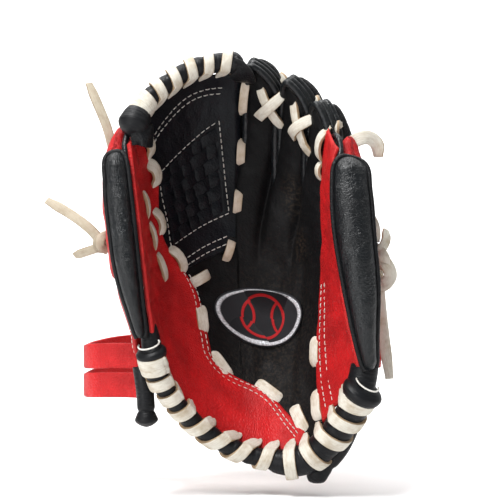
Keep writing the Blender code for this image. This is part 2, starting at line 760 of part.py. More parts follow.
def palm_pieces():
    palm_shell()
    heel_panel()
    badge()
    slab("palm_pad", "palm", "felt", spread(8, between(0.31, 0.77)), ruled(6, between(0.09, 0.44)),
         (-3.8, -3.8 - FELT))
    slab("palm_lining", "palm", "lining_leather", spread(9, root_limits()),
         ruled(7, lambda c: (clear_of_edge(c, 0), 0.49)), (-8.0, -8.0 - LINING))
    slab("back_panel", "palm", "black_leather", spread(8, root_limits()), ruled(3, between(0.37, 0.52)), BACK)
    for finger, limits in FINGERS.items():
        reach = between(*limits) if finger != "ring" else root_limits(low=limits[0])
        stall(finger + "_finger_stall", "palm", "black_leather", reach, FINGER_BASE, 0.975)
        welt(finger + "_finger_welt", "palm", reach, FINGER_BASE + 0.03, 0.985)
    crossed_lace("index_middle_lace", 0.6, 0.92)
    crossed_lace("middle_ring_lace", 0.696, 0.915)
    heel_piece("centre", "palm", THUMB_CREASE + roll_room(THUMB_CREASE), LITTLE_CREASE - roll_room(LITTLE_CREASE),
               HEEL_PITCH["centre"], 16)


def web_pieces():
    """The web between thumb and index finger: a frame, a woven middle, and a laced roll along its top."""
    limits = root_limits(high=WEB_RIGHT)
    columns, rows, margin = 6, 8, 0.006

    def bottom(c):
        return max(WEB_BOTTOM, red_edge(c) + 0.008)

    def frame_row(j, c):
        low, high = bottom(c), clear_of_edge(c, 1)
        return low + (high - low) * j / rows

    slab("web_panel", "palm", "black_leather", spread(columns, limits), (rows, frame_row), (0.0, -LEATHER),
         keep=lambda i, j: not (1 <= i < columns - 1 and 1 <= j < rows - 3))

    def weave_limits(v, d):
        low, high = limits(v, d)
        side = (high - low) / columns
        return low + side + margin, high - side - margin

    slab("web_weave", "palm", "black_leather", spread(4, weave_limits),
         ruled(4, lambda c: (frame_row(1, c) + margin, frame_row(rows - 3, c) - margin)), (0.0, -LEATHER))
    ends = [0.5 + 0.5 * math.sin((share_across(c, 1.0) - 0.5) * math.pi) for c in (0.15, 0.18, 0.485, 0.5)]
    roll("web_roll", "palm", ends[0], ends[3], crown_frame)
    whip_lace("web_roll_lace", "palm", ends[1], ends[2], crown_frame, WEB_PITCH)
    flat_lace("web_index_lace", "palm", [(0.515, 0.93), (0.515, 0.7), (0.512, 0.5)], width=4.2)


def wrist_pieces():
    """Two bands round the back of the wrist, and the rest patch the glove lies on."""
    body("wrist_strap", (*STRAP_PATH[0], PATCH_CENTRE[2] - LOWER_STRAP_DROP))
    strap("upper_band", "palm", 0.0, 0, STRAP_STEPS)
    box_piece("back_patch", "palm", "black_leather", np.array(PATCH_CENTRE) - (0, PATCH_SIZE[1] / 2, 0), PATCH_SIZE)
    strap("wrist_strap", "wrist_strap", LOWER_STRAP_DROP, 0, 33)
    tape = {"thick": 0.8, "height": 10, "colour": "hook_fabric"}
    strap("loop_patch", "wrist_strap", LOWER_STRAP_DROP, 27, 32, push=-2.0, **tape)
    strap("hook_patch", "palm", LOWER_STRAP_DROP, 27, 32, push=-3.4, **tape)
    strap("strap_tab", "palm", LOWER_STRAP_DROP, 25, STRAP_STEPS, push=-5.4)


def tail_pieces():
    """Loose lace ends that swing on their knots."""
    body("thumb_tails", (-69, -41, 108))
    knot("thumb_tail_knot", "thumb_tails", (-69, -41, 108), (5, 6, 7))
    lace_tail("thumb_tail_long", "thumb_tails", [(-72.8, -40, 110), (-80, -36, 121), (-99, -25, 129)])
    lace_tail("thumb_tail_short", "thumb_tails", [(-72.2, -40, 105.5), (-77, -36, 103), (-84, -30, 101)])
    body("little_finger_tail", (67, -46, 96))
    lace_tail("little_finger_tail", "little_finger_tail",
              [(67, -46, 97), (70, -44, 84), (66, -42, 70), (69, -42, 44)])


def build():
    for old in list(bpy.data.objects):
        bpy.data.objects.remove(old)
    body("palm", (0, 0, 0))
    body("thumb", [(a + b) / 2 for a, b in zip(*THUMB_AXIS)])
    body("little_finger", [(a + b) / 2 for a, b in zip(*LITTLE_AXIS)])
    palm_pieces()
    web_pieces()
    thumb_pieces()
    little_finger_pieces()
    wrist_pieces()
    tail_pieces()


build()
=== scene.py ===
"""The looks of the youth baseball glove: leather, lacing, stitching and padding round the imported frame.

Most pieces are patches of the glove's flat pattern, bent into the pocket by at(c, v, d):
    c   across the glove, 0 at the thumb's outer seam and 1 at the little finger's outer seam
    v   up the glove, 0 at the heel edge and 1 at the fingertips and the top of the web
    d   millimetres off the catching face, positive into the pocket, negative towards the back
Design lengths are millimetres; at() and place() turn them into the row frame's metres.
"""

import math

import bmesh
import bpy
import numpy as np
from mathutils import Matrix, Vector
from mathutils.kdtree import KDTree


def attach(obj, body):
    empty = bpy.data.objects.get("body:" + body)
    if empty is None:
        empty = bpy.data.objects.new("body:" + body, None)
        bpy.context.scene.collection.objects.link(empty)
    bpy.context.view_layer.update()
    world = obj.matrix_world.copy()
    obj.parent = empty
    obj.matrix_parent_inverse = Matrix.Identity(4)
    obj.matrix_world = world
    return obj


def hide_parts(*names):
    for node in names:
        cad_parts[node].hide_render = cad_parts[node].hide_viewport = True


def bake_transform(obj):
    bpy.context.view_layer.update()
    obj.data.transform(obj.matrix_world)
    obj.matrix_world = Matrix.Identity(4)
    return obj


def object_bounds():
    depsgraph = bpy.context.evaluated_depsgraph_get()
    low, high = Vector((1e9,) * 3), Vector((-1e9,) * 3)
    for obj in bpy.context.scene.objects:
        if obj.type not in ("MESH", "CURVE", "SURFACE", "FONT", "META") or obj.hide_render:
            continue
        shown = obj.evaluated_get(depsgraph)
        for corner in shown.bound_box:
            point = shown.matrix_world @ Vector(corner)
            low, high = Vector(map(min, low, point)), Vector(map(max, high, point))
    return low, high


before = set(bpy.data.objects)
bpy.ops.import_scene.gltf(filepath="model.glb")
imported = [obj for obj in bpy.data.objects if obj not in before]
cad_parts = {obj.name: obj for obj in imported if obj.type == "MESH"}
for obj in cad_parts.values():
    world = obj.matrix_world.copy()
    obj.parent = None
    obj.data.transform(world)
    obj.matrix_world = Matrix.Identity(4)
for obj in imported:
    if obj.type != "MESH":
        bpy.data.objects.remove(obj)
CAD_BOX = [list(corner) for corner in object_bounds()]

# The row frame's origin, on the patch at the back of the wrist, in design millimetres.
ORIGIN = np.array((0.0, 40.0, 52.0))

# The pocket: its four edges, how deep it is, and how full it stays towards heel and crown.
HEEL_EDGE = [(-43, -66, 60), (-37.5, -58, 39.5), (-21.5, -48, 19), (2.5, -42, 5), (26.5, -44, 5),
             (43, -52, 21), (55, -62, 42.5)]
CROWN_EDGE = [(-55, -58, 157), (-46.5, -50, 176), (-24.5, -42, 192.5), (0, -38, 195), (23, -40, 184.5),
              (37, -48, 170.5), (44, -58, 155.5)]
THUMB_EDGE = [(-43, -66, 60), (-47.5, -66, 99.5), (-52.5, -62, 139.5), (-55, -58, 157)]
LITTLE_EDGE = [(55, -62, 42.5), (48, -64, 71.5), (42, -64, 113.5), (41.5, -60, 142), (44, -58, 155.5)]
POCKET_DEPTH = 40.0
FULLNESS = (2.4, 0.8)

# The glove's thickness in millimetres by c, and its share of that by v.
THICKNESS_ACROSS = ((0, 13), (0.12, 17), (0.25, 21), (0.6, 24), (0.85, 22), (1, 16.5))
THICKNESS_UP = ((0, 0.45), (0.35, 1), (0.8, 1), (1, 0.62))

# The c of each finger, of the crease beside the little finger, and the v where the fingers' backs start.
LITTLE_CREASE = 0.81
LITTLE_CREASE_AT_HEEL = 0.69
FINGERS = {"index": (0.522, 0.606), "middle": (0.606, 0.7), "ring": (0.7, LITTLE_CREASE)}
FINGER_BASE = 0.53

ROLL_RADIUS = 4.6
LACE_WIDTH, LACE_THICK = 5.8, 1.5

# The sewn edge of the red heel and thumb panel, as (c, v) from the heel to the thumb's tip.
RED_EDGE = [(0.715, 0.0), (0.705, 0.04), (0.66, 0.09), (0.6, 0.15), (0.53, 0.178), (0.46, 0.186),
            (0.432, 0.21), (0.425, 0.25), (0.405, 0.37), (0.35, 0.46), (0.29, 0.54), (0.262, 0.62),
            (0.27, 0.7), (0.272, 0.77), (0.235, 0.88), (0.2, 0.97), (0.19, 1.0)]

# The pattern's size in millimetres, which anchors the leather's grain.
PATTERN = np.array((165.0, 190.0))

TOWARDS_VIEWER = (0.0, -1.0, 0.0)


# -------------------- the pattern and the pocket


def unit(x):
    return x / np.maximum(np.linalg.norm(x, axis=-1, keepdims=True), 1e-12)


def full_turn(count):
    """Angles once round, without repeating the first."""
    return np.linspace(0, 2 * math.pi, count, endpoint=False)


def smoothstep(x, low, high):
    x = np.clip((np.asarray(x, float) - low) / (high - low), 0, 1)
    return x * x * (3 - 2 * x)


def hump(x, middle, width):
    """A soft bell, 1 at the middle."""
    return np.exp(-(((x - middle) / width) ** 2))


def mesh_grid(rows, columns):
    return np.meshgrid(rows, columns, indexing="ij")


def run_length(path):
    """The length of a path up to each of its points."""
    return np.concatenate([[0], np.cumsum(np.linalg.norm(np.diff(path, axis=0), axis=1))])


def resample(table, marks, where):
    """The rows of a table, known at marks, read off at other places."""
    return np.stack([np.interp(where, marks, column) for column in np.asarray(table, float).T], -1)


def smooth_curve(points, samples=400):
    """Points evenly spaced in share of length along a smooth curve through the given points."""
    points = np.array(points, float)
    marks = run_length(points)
    marks = marks / marks[-1]
    ends = np.vstack([2 * points[0] - points[1], points, 2 * points[-1] - points[-2]])
    share = np.linspace(0, 1, samples)
    i = np.clip(np.searchsorted(marks, share, side="right") - 1, 0, len(points) - 2)
    w = ((share - marks[i]) / (marks[i + 1] - marks[i]))[:, None]
    a, b, c, e = ends[i], ends[i + 1], ends[i + 2], ends[i + 3]
    return 0.5 * (2 * b + (c - a) * w + (2 * a - 5 * b + 4 * c - e) * w**2 + (3 * b - a - 3 * c + e) * w**3)


def lookup(table, share):
    """Points of a smooth_curve() at any shares of its length."""
    return resample(table, np.arange(len(table)), np.clip(share, 0, 1) * (len(table) - 1))


HEEL, CROWN = smooth_curve(HEEL_EDGE), smooth_curve(CROWN_EDGE)
THUMB_SIDE, LITTLE_SIDE = smooth_curve(THUMB_EDGE), smooth_curve(LITTLE_EDGE)


def share_across(c, v):
    """Pattern coordinate c as a share of the pocket's width, with the fingers gathered towards the heel."""
    crease = LITTLE_CREASE_AT_HEEL + (LITTLE_CREASE - LITTLE_CREASE_AT_HEEL) * smoothstep(v, 0.1, 0.7)
    middle = 0.5 + (c - 0.5) * (crease - 0.5) / (LITTLE_CREASE - 0.5)
    outer = crease + (c - LITTLE_CREASE) * (1 - crease) / (1 - LITTLE_CREASE)
    return np.where(c <= 0.5, c, np.where(c <= LITTLE_CREASE, middle, outer))


def pocket(s, v):
    """The catching face in design millimetres: a sheet between the four edges, bowed back in the middle."""
    turn = (s - 0.5) * math.pi
    u = 0.5 + 0.5 * np.sin(turn)
    a, b = u[..., None], np.clip(v, 0, 1)[..., None]
    flat = (1 - b) * lookup(HEEL, u) + b * lookup(CROWN, u)
    flat = flat + (1 - a) * lookup(THUMB_SIDE, v) + a * lookup(LITTLE_SIDE, v)
    corners = (1 - a) * (1 - b) * HEEL[0] + a * (1 - b) * HEEL[-1]
    corners = corners + (1 - a) * b * CROWN[0] + a * b * CROWN[-1]
    fullness = np.maximum(1 - np.abs(2 * v - 1) ** FULLNESS[0], 0) ** FULLNESS[1]
    bowl = flat - corners
    bowl[..., 1] += POCKET_DEPTH * np.cos(turn) * fullness
    return bowl


def inward(s, v):
    """The catching face's normal, into the pocket."""
    s, v, step = np.clip(s, 0.02, 0.98), np.clip(v, 0.03, 0.97), 0.01
    across = pocket(s + step, v) - pocket(s - step, v)
    upwards = pocket(s, v + step) - pocket(s, v - step)
    return unit(np.cross(across, upwards))


def place(points):
    """Design millimetres to the row frame's metres."""
    return (np.asarray(points, float) - ORIGIN) * 0.001


def to_design(points):
    """The row frame's metres to design millimetres."""
    return points * 1000 + ORIGIN


def normal_at(c, v):
    c, v = np.broadcast_arrays(np.asarray(c, float), np.asarray(v, float))
    return inward(share_across(c, v), v)


def at(c, v, d=0.0):
    """Pattern coordinates to the row frame."""
    c, v, d = np.broadcast_arrays(*(np.asarray(x, float) for x in (c, v, d)))
    s = share_across(c, v)
    return place(pocket(s, v) + inward(s, v) * d[..., None])


def thickness(c, v):
    """How far the back lies behind the catching face, in millimetres, eased over the steps of its table."""
    steps = (-0.1, -0.05, 0, 0.05, 0.1)
    share = sum(np.interp(v + step, *zip(*THICKNESS_UP)) for step in steps) / len(steps)
    return np.interp(c, *zip(*THICKNESS_ACROSS)) * share


def low_edge(c):
    """The v where the palm side's leather ends at the heel."""
    return 0.012 + 0.05 * np.abs(0.55 - c) ** 1.3 * 2


def red_edge(v):
    """The c of the red panel's sewn edge at height v."""
    edge = smooth_curve(RED_EDGE, 300)
    return np.interp(v, edge[:, 1], edge[:, 0])


def ripple(c, v, seed, wavelength, amount, count=10):
    """Soft uneven dents in leather: a few crossing waves, millimetres high."""
    chance = np.random.default_rng(seed)
    x, y = c * PATTERN[0], v * PATTERN[1]
    total = np.zeros(np.broadcast(x, y).shape)
    for _ in range(count):
        heading = chance.uniform(0, 2 * math.pi)
        length = wavelength * chance.uniform(0.6, 1.6)
        phase = chance.uniform(0, 2 * math.pi)
        total += np.sin((x * math.cos(heading) + y * math.sin(heading)) * 2 * math.pi / length + phase)
    return amount * total / math.sqrt(count)


def uneven(c, v, seed, broad, fine):
    """Broad and fine ripples together, each as (wavelength, amount)."""
    return ripple(c, v, seed, *broad) + ripple(c, v, seed + 1, *fine)


def distance_to(c, v, path):
    """Millimetres on the flat pattern from points to a path of (c, v)."""
    points = np.stack(np.broadcast_arrays(c, v), -1) * PATTERN
    path = np.asarray(path, float) * PATTERN
    best = np.full(points.shape[:-1], np.inf)
    for a, b in zip(path, path[1:]):
        step = b - a
        t = np.clip(((points - a) @ step) / max(step @ step, 1e-9), 0, 1)
        best = np.minimum(best, np.linalg.norm(points - (a + t[..., None] * step), axis=-1))
    return best


def groove(c, v, path, depth, width):
    return -depth * hump(distance_to(c, v, path), 0.0, width)


# -------------------- meshes


def grid_faces(rows, columns, first=0, wrap=False):
    i, j = mesh_grid(np.arange(rows - 1), np.arange(columns if wrap else columns - 1))
    after = (j + 1) % columns
    quads = [i * columns + j, i * columns + after, (i + 1) * columns + after, (i + 1) * columns + j]
    return (np.stack(quads, -1).reshape(-1, 4) + first).tolist()


class Batch:
    """Collects shapes into one mesh. Each point keeps where it lies on its own leather, for the materials."""

    def __init__(self):
        self.points, self.faces, self.pattern, self.count = [], [], [], 0

    def add(self, points, faces, pattern):
        points = np.asarray(points, float).reshape(-1, 3)
        self.points.append(points)
        self.pattern.append(np.broadcast_to(np.asarray(pattern, float).reshape(-1, 3), points.shape))
        self.faces += [[k + self.count for k in face] for face in faces]
        self.count += len(points)

    def make(self, name, look):
        """The shapes as one object in the scene."""
        mesh = bpy.data.meshes.new(name)
        mesh.from_pydata(np.concatenate(self.points).tolist(), [], self.faces)
        set_pattern(mesh, np.concatenate(self.pattern))
        shape = bmesh.new()
        shape.from_mesh(mesh)
        bmesh.ops.recalc_face_normals(shape, faces=shape.faces)
        shape.to_mesh(mesh)
        shape.free()
        mesh.materials.append(LOOK[look])
        mesh.shade_smooth()
        piece = bpy.data.objects.new(name, mesh)
        bpy.context.scene.collection.objects.link(piece)
        return piece

    def finish(self, name, look, follows, *nodes):
        """The shapes as one object, settled in the glove."""
        settle(self.make(name, look), follows, *nodes)


def set_pattern(mesh, values):
    where = mesh.attributes.new("pattern", "FLOAT_VECTOR", "POINT")
    where.data.foreach_set("vector", np.asarray(values, np.float32).ravel())


def add_loft(batch, rings, pattern):
    """A closed skin over rings of points, capped at both ends."""
    rows, columns = rings.shape[:2]
    faces = grid_faces(rows, columns, wrap=True)
    faces.append(list(range(columns))[::-1])
    faces.append([(rows - 1) * columns + k for k in range(columns)])
    batch.add(rings, faces, pattern)


# How far a sheet's edge is rolled in from its faces, as a share of its thickness.
EDGE_TUCK = 0.42


def add_sheet(batch, c, v, d, thick):
    """A leather patch with a thickness: rolled edges, its front at d and its back thick behind it."""
    c, v, d = (np.array(x) for x in np.broadcast_arrays(c, v, d))
    rows, columns = c.shape
    border = np.zeros(c.shape, bool)
    border[[0, -1], :] = True
    border[:, [0, -1]] = True
    front = at(c, v, np.where(border, d - EDGE_TUCK * thick, d))
    back = at(c, v, np.where(border, d - (1 - EDGE_TUCK) * thick, d - thick))
    faces = grid_faces(rows, columns)
    faces += [face[::-1] for face in grid_faces(rows, columns, rows * columns)]
    ring = [(0, j) for j in range(columns)] + [(i, columns - 1) for i in range(1, rows)]
    ring += [(rows - 1, j) for j in range(columns - 2, -1, -1)] + [(i, 0) for i in range(rows - 2, 0, -1)]
    index = [i * columns + j for i, j in ring]
    for a, b in zip(index, index[1:] + index[:1]):
        faces.append([b, a, a + rows * columns, b + rows * columns])
    pattern = np.stack([c * PATTERN[0], v * PATTERN[1], np.zeros(c.shape)], -1).reshape(-1, 3)
    points = np.concatenate([front.reshape(-1, 3), back.reshape(-1, 3)])
    batch.add(points, faces, np.concatenate([pattern, pattern]))


def sheet(name, look, c, v, d, thick, follows, *nodes):
    batch = Batch()
    add_sheet(batch, c, v, d, thick)
    batch.finish(name, look, follows, *nodes)


def add_sweep(batch, path, up, section, scale=1.0, seed=0):
    """A section carried along a path in the row frame. up is the section's y axis at each point."""
    path, up = np.asarray(path, float), np.broadcast_to(np.asarray(up, float), np.shape(path))
    tangent = unit(np.gradient(path, axis=0))
    side = unit(np.cross(tangent, up))
    up = np.cross(side, tangent)
    scale = np.broadcast_to(scale, (len(path),))[:, None, None]
    section = np.asarray(section, float) * 0.001
    offset = side[:, None] * section[None, :, :1] + up[:, None] * section[None, :, 1:]
    length = run_length(path) * 1000
    half = np.abs(section[:, 0]).max()
    lace_apart = 37.0 * seed
    pattern = np.broadcast_arrays(length[:, None] + lace_apart, section[None, :, 0] * 1000,
                                  np.abs(section[None, :, 0]) / half)
    add_loft(batch, path[:, None] + offset * scale, np.stack(pattern, -1))


def round_section(radius, sides):
    turns = full_turn(sides)
    return np.stack([np.cos(turns), np.sin(turns)], -1) * radius


def lace_section(width, thick=LACE_THICK, cup=0.2):
    """A flat strip, softly squared at its cut edges, that bends away a little along both sides."""
    half_x = np.array((-1, -0.99, -0.94, -0.6, -0.2, 0.2, 0.6, 0.94, 0.99, 1))
    half_y = np.array((0.45, 0.85, 1, 1, 1, 1, 1, 1, 0.85, 0.45))
    x, y = np.concatenate([half_x, half_x[::-1]]), np.concatenate([half_y, -half_y])
    return np.stack([x * width / 2, y * thick / 2 - cup * (x * x - 0.4)], -1)


def strap_section(height, thick):
    """A flat band with rounded edges."""
    turns = full_turn(28)
    x = np.sign(np.cos(turns)) * np.abs(np.cos(turns)) ** 0.25 * height / 2
    y = np.sign(np.sin(turns)) * np.abs(np.sin(turns)) ** 0.45 * thick / 2
    return np.stack([x, y], -1)


# -------------------- padding as cloth

# The cloth's mesh size, how far any point may move, and how long the cloth runs.
VOXEL_MM, CAP_MM, CLOTH_FRAMES = 1.5, 1.6, 20


def tree_of(points):
    tree = KDTree(len(points))
    for k, point in enumerate(points):
        tree.insert(point, k)
    tree.balance()
    return tree


def read_vectors(data, key):
    values = np.empty(len(data) * 3)
    data.foreach_get(key, values)
    return values.reshape(-1, 3)


def applied(thing):
    """The thing's mesh with its modifiers applied."""
    return bpy.data.meshes.new_from_object(thing.evaluated_get(bpy.context.evaluated_depsgraph_get()))


def add_cloth(soft, pressure):
    cloth = soft.modifiers.new("cloth", "CLOTH")
    stuffing = cloth.settings
    stuffing.quality = 6
    stuffing.mass = 0.001
    stuffing.tension_stiffness = stuffing.compression_stiffness = 3
    stuffing.shear_stiffness = 2
    stuffing.bending_stiffness = 0.01
    stuffing.use_pressure = True
    stuffing.uniform_pressure_force = pressure
    stuffing.effector_weights.gravity = 0
    stuffing.vertex_group_mass = "sewn"
    cloth.point_cache.frame_start, cloth.point_cache.frame_end = 1, CLOTH_FRAMES


def stuff(piece, held, pressure=90.0):
    """Fills a padded piece: its leather is let go as cloth under pressure, and swells between its seams.

    held is a list of points in the row frame that stay sewn down.
    """
    scene = bpy.context.scene
    soft = bpy.data.objects.new(piece.name + "_soft", piece.data.copy())
    scene.collection.objects.link(soft)
    remesh = soft.modifiers.new("remesh", "REMESH")
    remesh.mode, remesh.voxel_size = "VOXEL", VOXEL_MM * 0.001
    skin = applied(soft)
    soft.modifiers.clear()
    soft.data = skin
    rest = read_vectors(skin.vertices, "co")
    sewn = tree_of(held)
    group = soft.vertex_groups.new(name="sewn")
    for k, point in enumerate(rest):
        hold = float(1 - smoothstep(sewn.find(point)[2] * 1000, 1.2, 3.2))
        if hold > 0:
            group.add([k], hold, "REPLACE")
    add_cloth(soft, pressure)
    for step in range(1, CLOTH_FRAMES + 1):
        scene.frame_set(step)
    final = applied(soft)
    move = read_vectors(final.vertices, "co") - rest
    size = np.linalg.norm(move, axis=1, keepdims=True) * 1000
    rest = rest + move * np.minimum(1.0, CAP_MM / np.maximum(size, 1e-6))
    final.vertices.foreach_set("co", rest.ravel())
    source = tree_of([vertex.co for vertex in piece.data.vertices])
    where = read_vectors(piece.data.attributes["pattern"].data, "vector")
    set_pattern(final, where[[source.find(point)[1] for point in rest]])
    final.materials.clear()
    final.materials.append(piece.data.materials[0])
    final.shade_smooth()
    bpy.data.objects.remove(soft)
    scene.frame_set(1)
    piece.data = final
    smooth = piece.modifiers.new("smooth", "SUBSURF")
    smooth.levels = smooth.render_levels = 1


# -------------------- materials


class Shader:
    """A material's node tree, one call to a node."""

    def __init__(self, name):
        self.material = bpy.data.materials.new(name)
        self.material.use_nodes = True
        self.tree = self.material.node_tree
        self.surface = self.tree.nodes["Principled BSDF"]

    def add(self, kind, inputs=(), output=0, **settings):
        node = self.tree.nodes.new(kind)
        for key, value in settings.items():
            setattr(node, key, value)
        for key, value in dict(inputs).items():
            self.feed(node.inputs[key], value)
        return node.outputs[output]

    def feed(self, socket, value):
        if isinstance(value, bpy.types.NodeSocket):
            self.tree.links.new(value, socket)
        elif hasattr(socket.default_value, "__len__") and not hasattr(value, "__len__"):
            socket.default_value = (value,) * len(socket.default_value)
        else:
            socket.default_value = value

    def math(self, operation, a, b=0.0):
        return self.add("ShaderNodeMath", {0: a, 1: b}, operation=operation)

    def vector(self, operation, a, b):
        return self.add("ShaderNodeVectorMath", {0: a, 1: b}, operation=operation)

    def ramp(self, value, low, high, start=0.0, end=1.0):
        """value from low..high to start..end, eased and clamped."""
        inputs = {0: value, 1: low, 2: high, 3: start, 4: end}
        return self.add("ShaderNodeMapRange", inputs, interpolation_type="SMOOTHSTEP")

    def noise(self, where, scale, detail=3.0, roughness=0.55, stretch=(1, 1, 1)):
        inputs = {"Vector": self.vector("MULTIPLY", where, stretch), "Scale": scale, "Detail": detail,
                  "Roughness": roughness}
        return self.add("ShaderNodeTexNoise", inputs)

    def mix(self, factor, a, b):
        node = self.tree.nodes.new("ShaderNodeMix")
        node.data_type = "RGBA"
        for socket, value in ((node.inputs[0], factor), (node.inputs[6], a), (node.inputs[7], b)):
            self.feed(socket, value)
        return node.outputs[2]

    def pattern(self):
        return self.add("ShaderNodeAttribute", output=1, attribute_name="pattern")

    def bump(self, height, distance_mm, under=None):
        inputs = {"Height": height, "Distance": distance_mm * 0.001, "Strength": 1.0}
        if under is not None:
            inputs["Normal"] = under
        return self.add("ShaderNodeBump", inputs)

    def finish(self, **inputs):
        for key, value in inputs.items():
            self.feed(self.surface.inputs[key.replace("_", " ")], value)
        return self.material


def rgb(r, g, b):
    return (r, g, b, 1.0)


def leather(name, colour, worn, roughness, *, wear, grain=1.5, pebble=0.10, crumple=0.35, coat=0.0,
            shine=0.22, scuffs_and_sheen=()):
    """Grained leather: pebbles with fine creases between them, uneven colour, worn high spots, and scuffed
    patches, one of which on the palm is partly a painted sheen.
    """
    shade = Shader(name)
    where = shade.pattern()
    warp = shade.add("ShaderNodeTexNoise", {"Vector": where, "Scale": 0.25, "Detail": 2.0}, output=1)
    warped = shade.vector("ADD", where, shade.vector("MULTIPLY", warp, (1.6, 1.6, 1.6)))
    cells = shade.add("ShaderNodeTexVoronoi", {"Vector": warped, "Scale": 1 / grain},
                      feature="DISTANCE_TO_EDGE")
    fine = shade.noise(where, 1.7, 4.0)
    broad = shade.noise(where, 0.055, 4.0)
    crumples = shade.noise(where, 0.16, 3.0, 0.5, (1.0, 0.55, 1.0))
    height = shade.math("ADD", shade.ramp(cells, 0.0, 0.3), shade.math("MULTIPLY", fine, 0.5))
    normal = shade.bump(height, pebble, shade.bump(crumples, crumple * 3))
    dark = rgb(*(x * 0.62 for x in colour[:3]))
    tone = shade.mix(shade.ramp(broad, 0.3, 0.72), dark, colour)
    tone = shade.mix(shade.ramp(cells, 0.0, 0.1, 0.45, 0.0), tone, dark)
    pointiness = shade.add("ShaderNodeNewGeometry", output=7)
    rubbed = shade.math("MULTIPLY", shade.ramp(pointiness, 0.51, 0.6), shade.ramp(fine, 0.35, 0.65))
    tone = shade.mix(shade.math("MULTIPLY", rubbed, wear), tone, worn)
    # Each patch lightens towards the worn colour: scuff marks, and on the palm one broad patch that is partly
    # a painted sheen.
    for (c, v), reach, strength in scuffs_and_sheen:
        away = shade.vector("SUBTRACT", where, (c * PATTERN[0], v * PATTERN[1], 0))
        away = shade.vector("MULTIPLY", away, (1.0, 0.45, 0.0))
        gap = shade.add("ShaderNodeVectorMath", {0: away}, output=1, operation="LENGTH")
        speckle = shade.ramp(shade.noise(where, 0.6, 5.0, 0.7), 0.45, 0.62)
        patchy = shade.math("MULTIPLY", shade.ramp(gap, reach, 0.0), speckle)
        tone = shade.mix(shade.math("MULTIPLY", patchy, strength), tone, worn)
    rough = shade.ramp(broad, 0.3, 0.7, roughness + 0.07, roughness - 0.06)
    rough = shade.math("ADD", rough, shade.math("MULTIPLY", rubbed, 0.2))
    return shade.finish(Base_Color=tone, Roughness=rough, Normal=normal, Coat_Weight=coat,
                        Coat_Roughness=0.28, Specular_IOR_Level=shine)


def lace_leather(name, colour, edge, soiled):
    """Rawhide lace: fibrous and off-white, with tan cut edges and handled stains."""
    shade = Shader(name)
    where = shade.pattern()
    across = shade.add("ShaderNodeSeparateXYZ", {0: where}, output=2)
    fibre = shade.noise(where, 1.3, 4.0, 0.6, (0.25, 2.2, 1.0))
    blotch = shade.noise(where, 0.11, 3.0, 0.6, (1, 1, 0))
    tone = shade.mix(shade.ramp(blotch, 0.42, 0.72), colour, soiled)
    tone = shade.mix(shade.ramp(fibre, 0.4, 0.75, 0.0, 0.35), tone, edge)
    rim = shade.math("ADD", across, shade.math("MULTIPLY", fibre, 0.1))
    tone = shade.mix(shade.ramp(rim, 0.965, 1.03, 0.0, 0.85), tone, edge)
    nap = shade.math("MULTIPLY", shade.noise(where, 0.5, 3.0), 0.8)
    normal = shade.bump(shade.math("ADD", fibre, nap), 0.28)
    return shade.finish(Base_Color=tone, Roughness=0.68, Normal=normal, Specular_IOR_Level=0.3)


def thread_material():
    shade = Shader("white_thread")
    where = shade.pattern()
    twist = shade.add("ShaderNodeTexWave", {"Vector": where, "Scale": 1.4, "Distortion": 0.5})
    uneven_dye = shade.ramp(shade.noise(where, 0.4), 0.35, 0.7)
    tone = shade.mix(uneven_dye, rgb(0.82, 0.8, 0.75), rgb(0.6, 0.56, 0.5))
    return shade.finish(Base_Color=tone, Roughness=0.75, Normal=shade.bump(twist, 0.1))


def cloth_material(name, colour, other, pitch=0.9):
    """Felt, suede and hook-and-loop tape: matt, fuzzy and mottled."""
    shade = Shader(name)
    metres = shade.add("ShaderNodeTexCoord", output=3)
    fuzz = shade.noise(shade.vector("MULTIPLY", metres, (1000, 1000, 1000)), 1 / pitch, 5.0, 0.7)
    tone = shade.mix(shade.ramp(fuzz, 0.3, 0.7), colour, other)
    return shade.finish(Base_Color=tone, Roughness=0.95, Normal=shade.bump(fuzz, 0.3), Sheen_Weight=0.3,
                        Specular_IOR_Level=0.15)


def badge_material():
    """The pressed badge: a black field, a silver ring, and a red baseball seam. It carries no lettering."""
    shade = Shader("badge_print")
    where = shade.pattern()
    x, y = (shade.add("ShaderNodeSeparateXYZ", {0: where}, output=k) for k in (0, 1))

    def inside(cx, cy, rx, ry):
        dx = shade.math("DIVIDE", shade.math("SUBTRACT", x, cx), rx)
        dy = shade.math("DIVIDE", shade.math("SUBTRACT", y, cy), ry)
        squares = shade.math("ADD", shade.math("MULTIPLY", dx, dx), shade.math("MULTIPLY", dy, dy))
        return shade.ramp(shade.math("SQRT", squares), 1.02, 0.98)

    def ring(outer, inner):
        return shade.math("MULTIPLY", inside(*outer), shade.math("SUBTRACT", 1.0, inside(*inner)))

    worn = shade.ramp(shade.noise(where, 5.0, 5.0, 0.7), 0.25, 0.36)
    silver = ring((0, 0, 0.97, 0.95), (-0.012, 0.02, 0.885, 0.87))
    ball = ring((0, 0, 0.5, 0.76), (0, 0, 0.44, 0.66))
    left_seam, right_seam = (ring((cx, 0, 0.42, 0.7), (cx, 0, 0.36, 0.62)) for cx in (-0.6, 0.6))
    seams = shade.math("MULTIPLY", shade.math("MAXIMUM", left_seam, right_seam), inside(0, 0, 0.46, 0.7))
    red = shade.math("MAXIMUM", ball, seams)
    metal = shade.math("MULTIPLY", silver, worn)
    tone = shade.mix(shade.math("MULTIPLY", red, worn), rgb(0.012, 0.012, 0.014), rgb(0.33, 0.01, 0.012))
    glitter = shade.ramp(shade.noise(where, 22.0, 4.0), 0.35, 0.65)
    tone = shade.mix(metal, tone, shade.mix(glitter, rgb(0.3, 0.3, 0.31), rgb(0.6, 0.61, 0.64)))
    return shade.finish(Base_Color=tone, Metallic=shade.math("MULTIPLY", metal, 0.5), Roughness=0.6,
                        Specular_IOR_Level=0.15, Normal=shade.bump(shade.math("MAXIMUM", metal, red), 0.15))
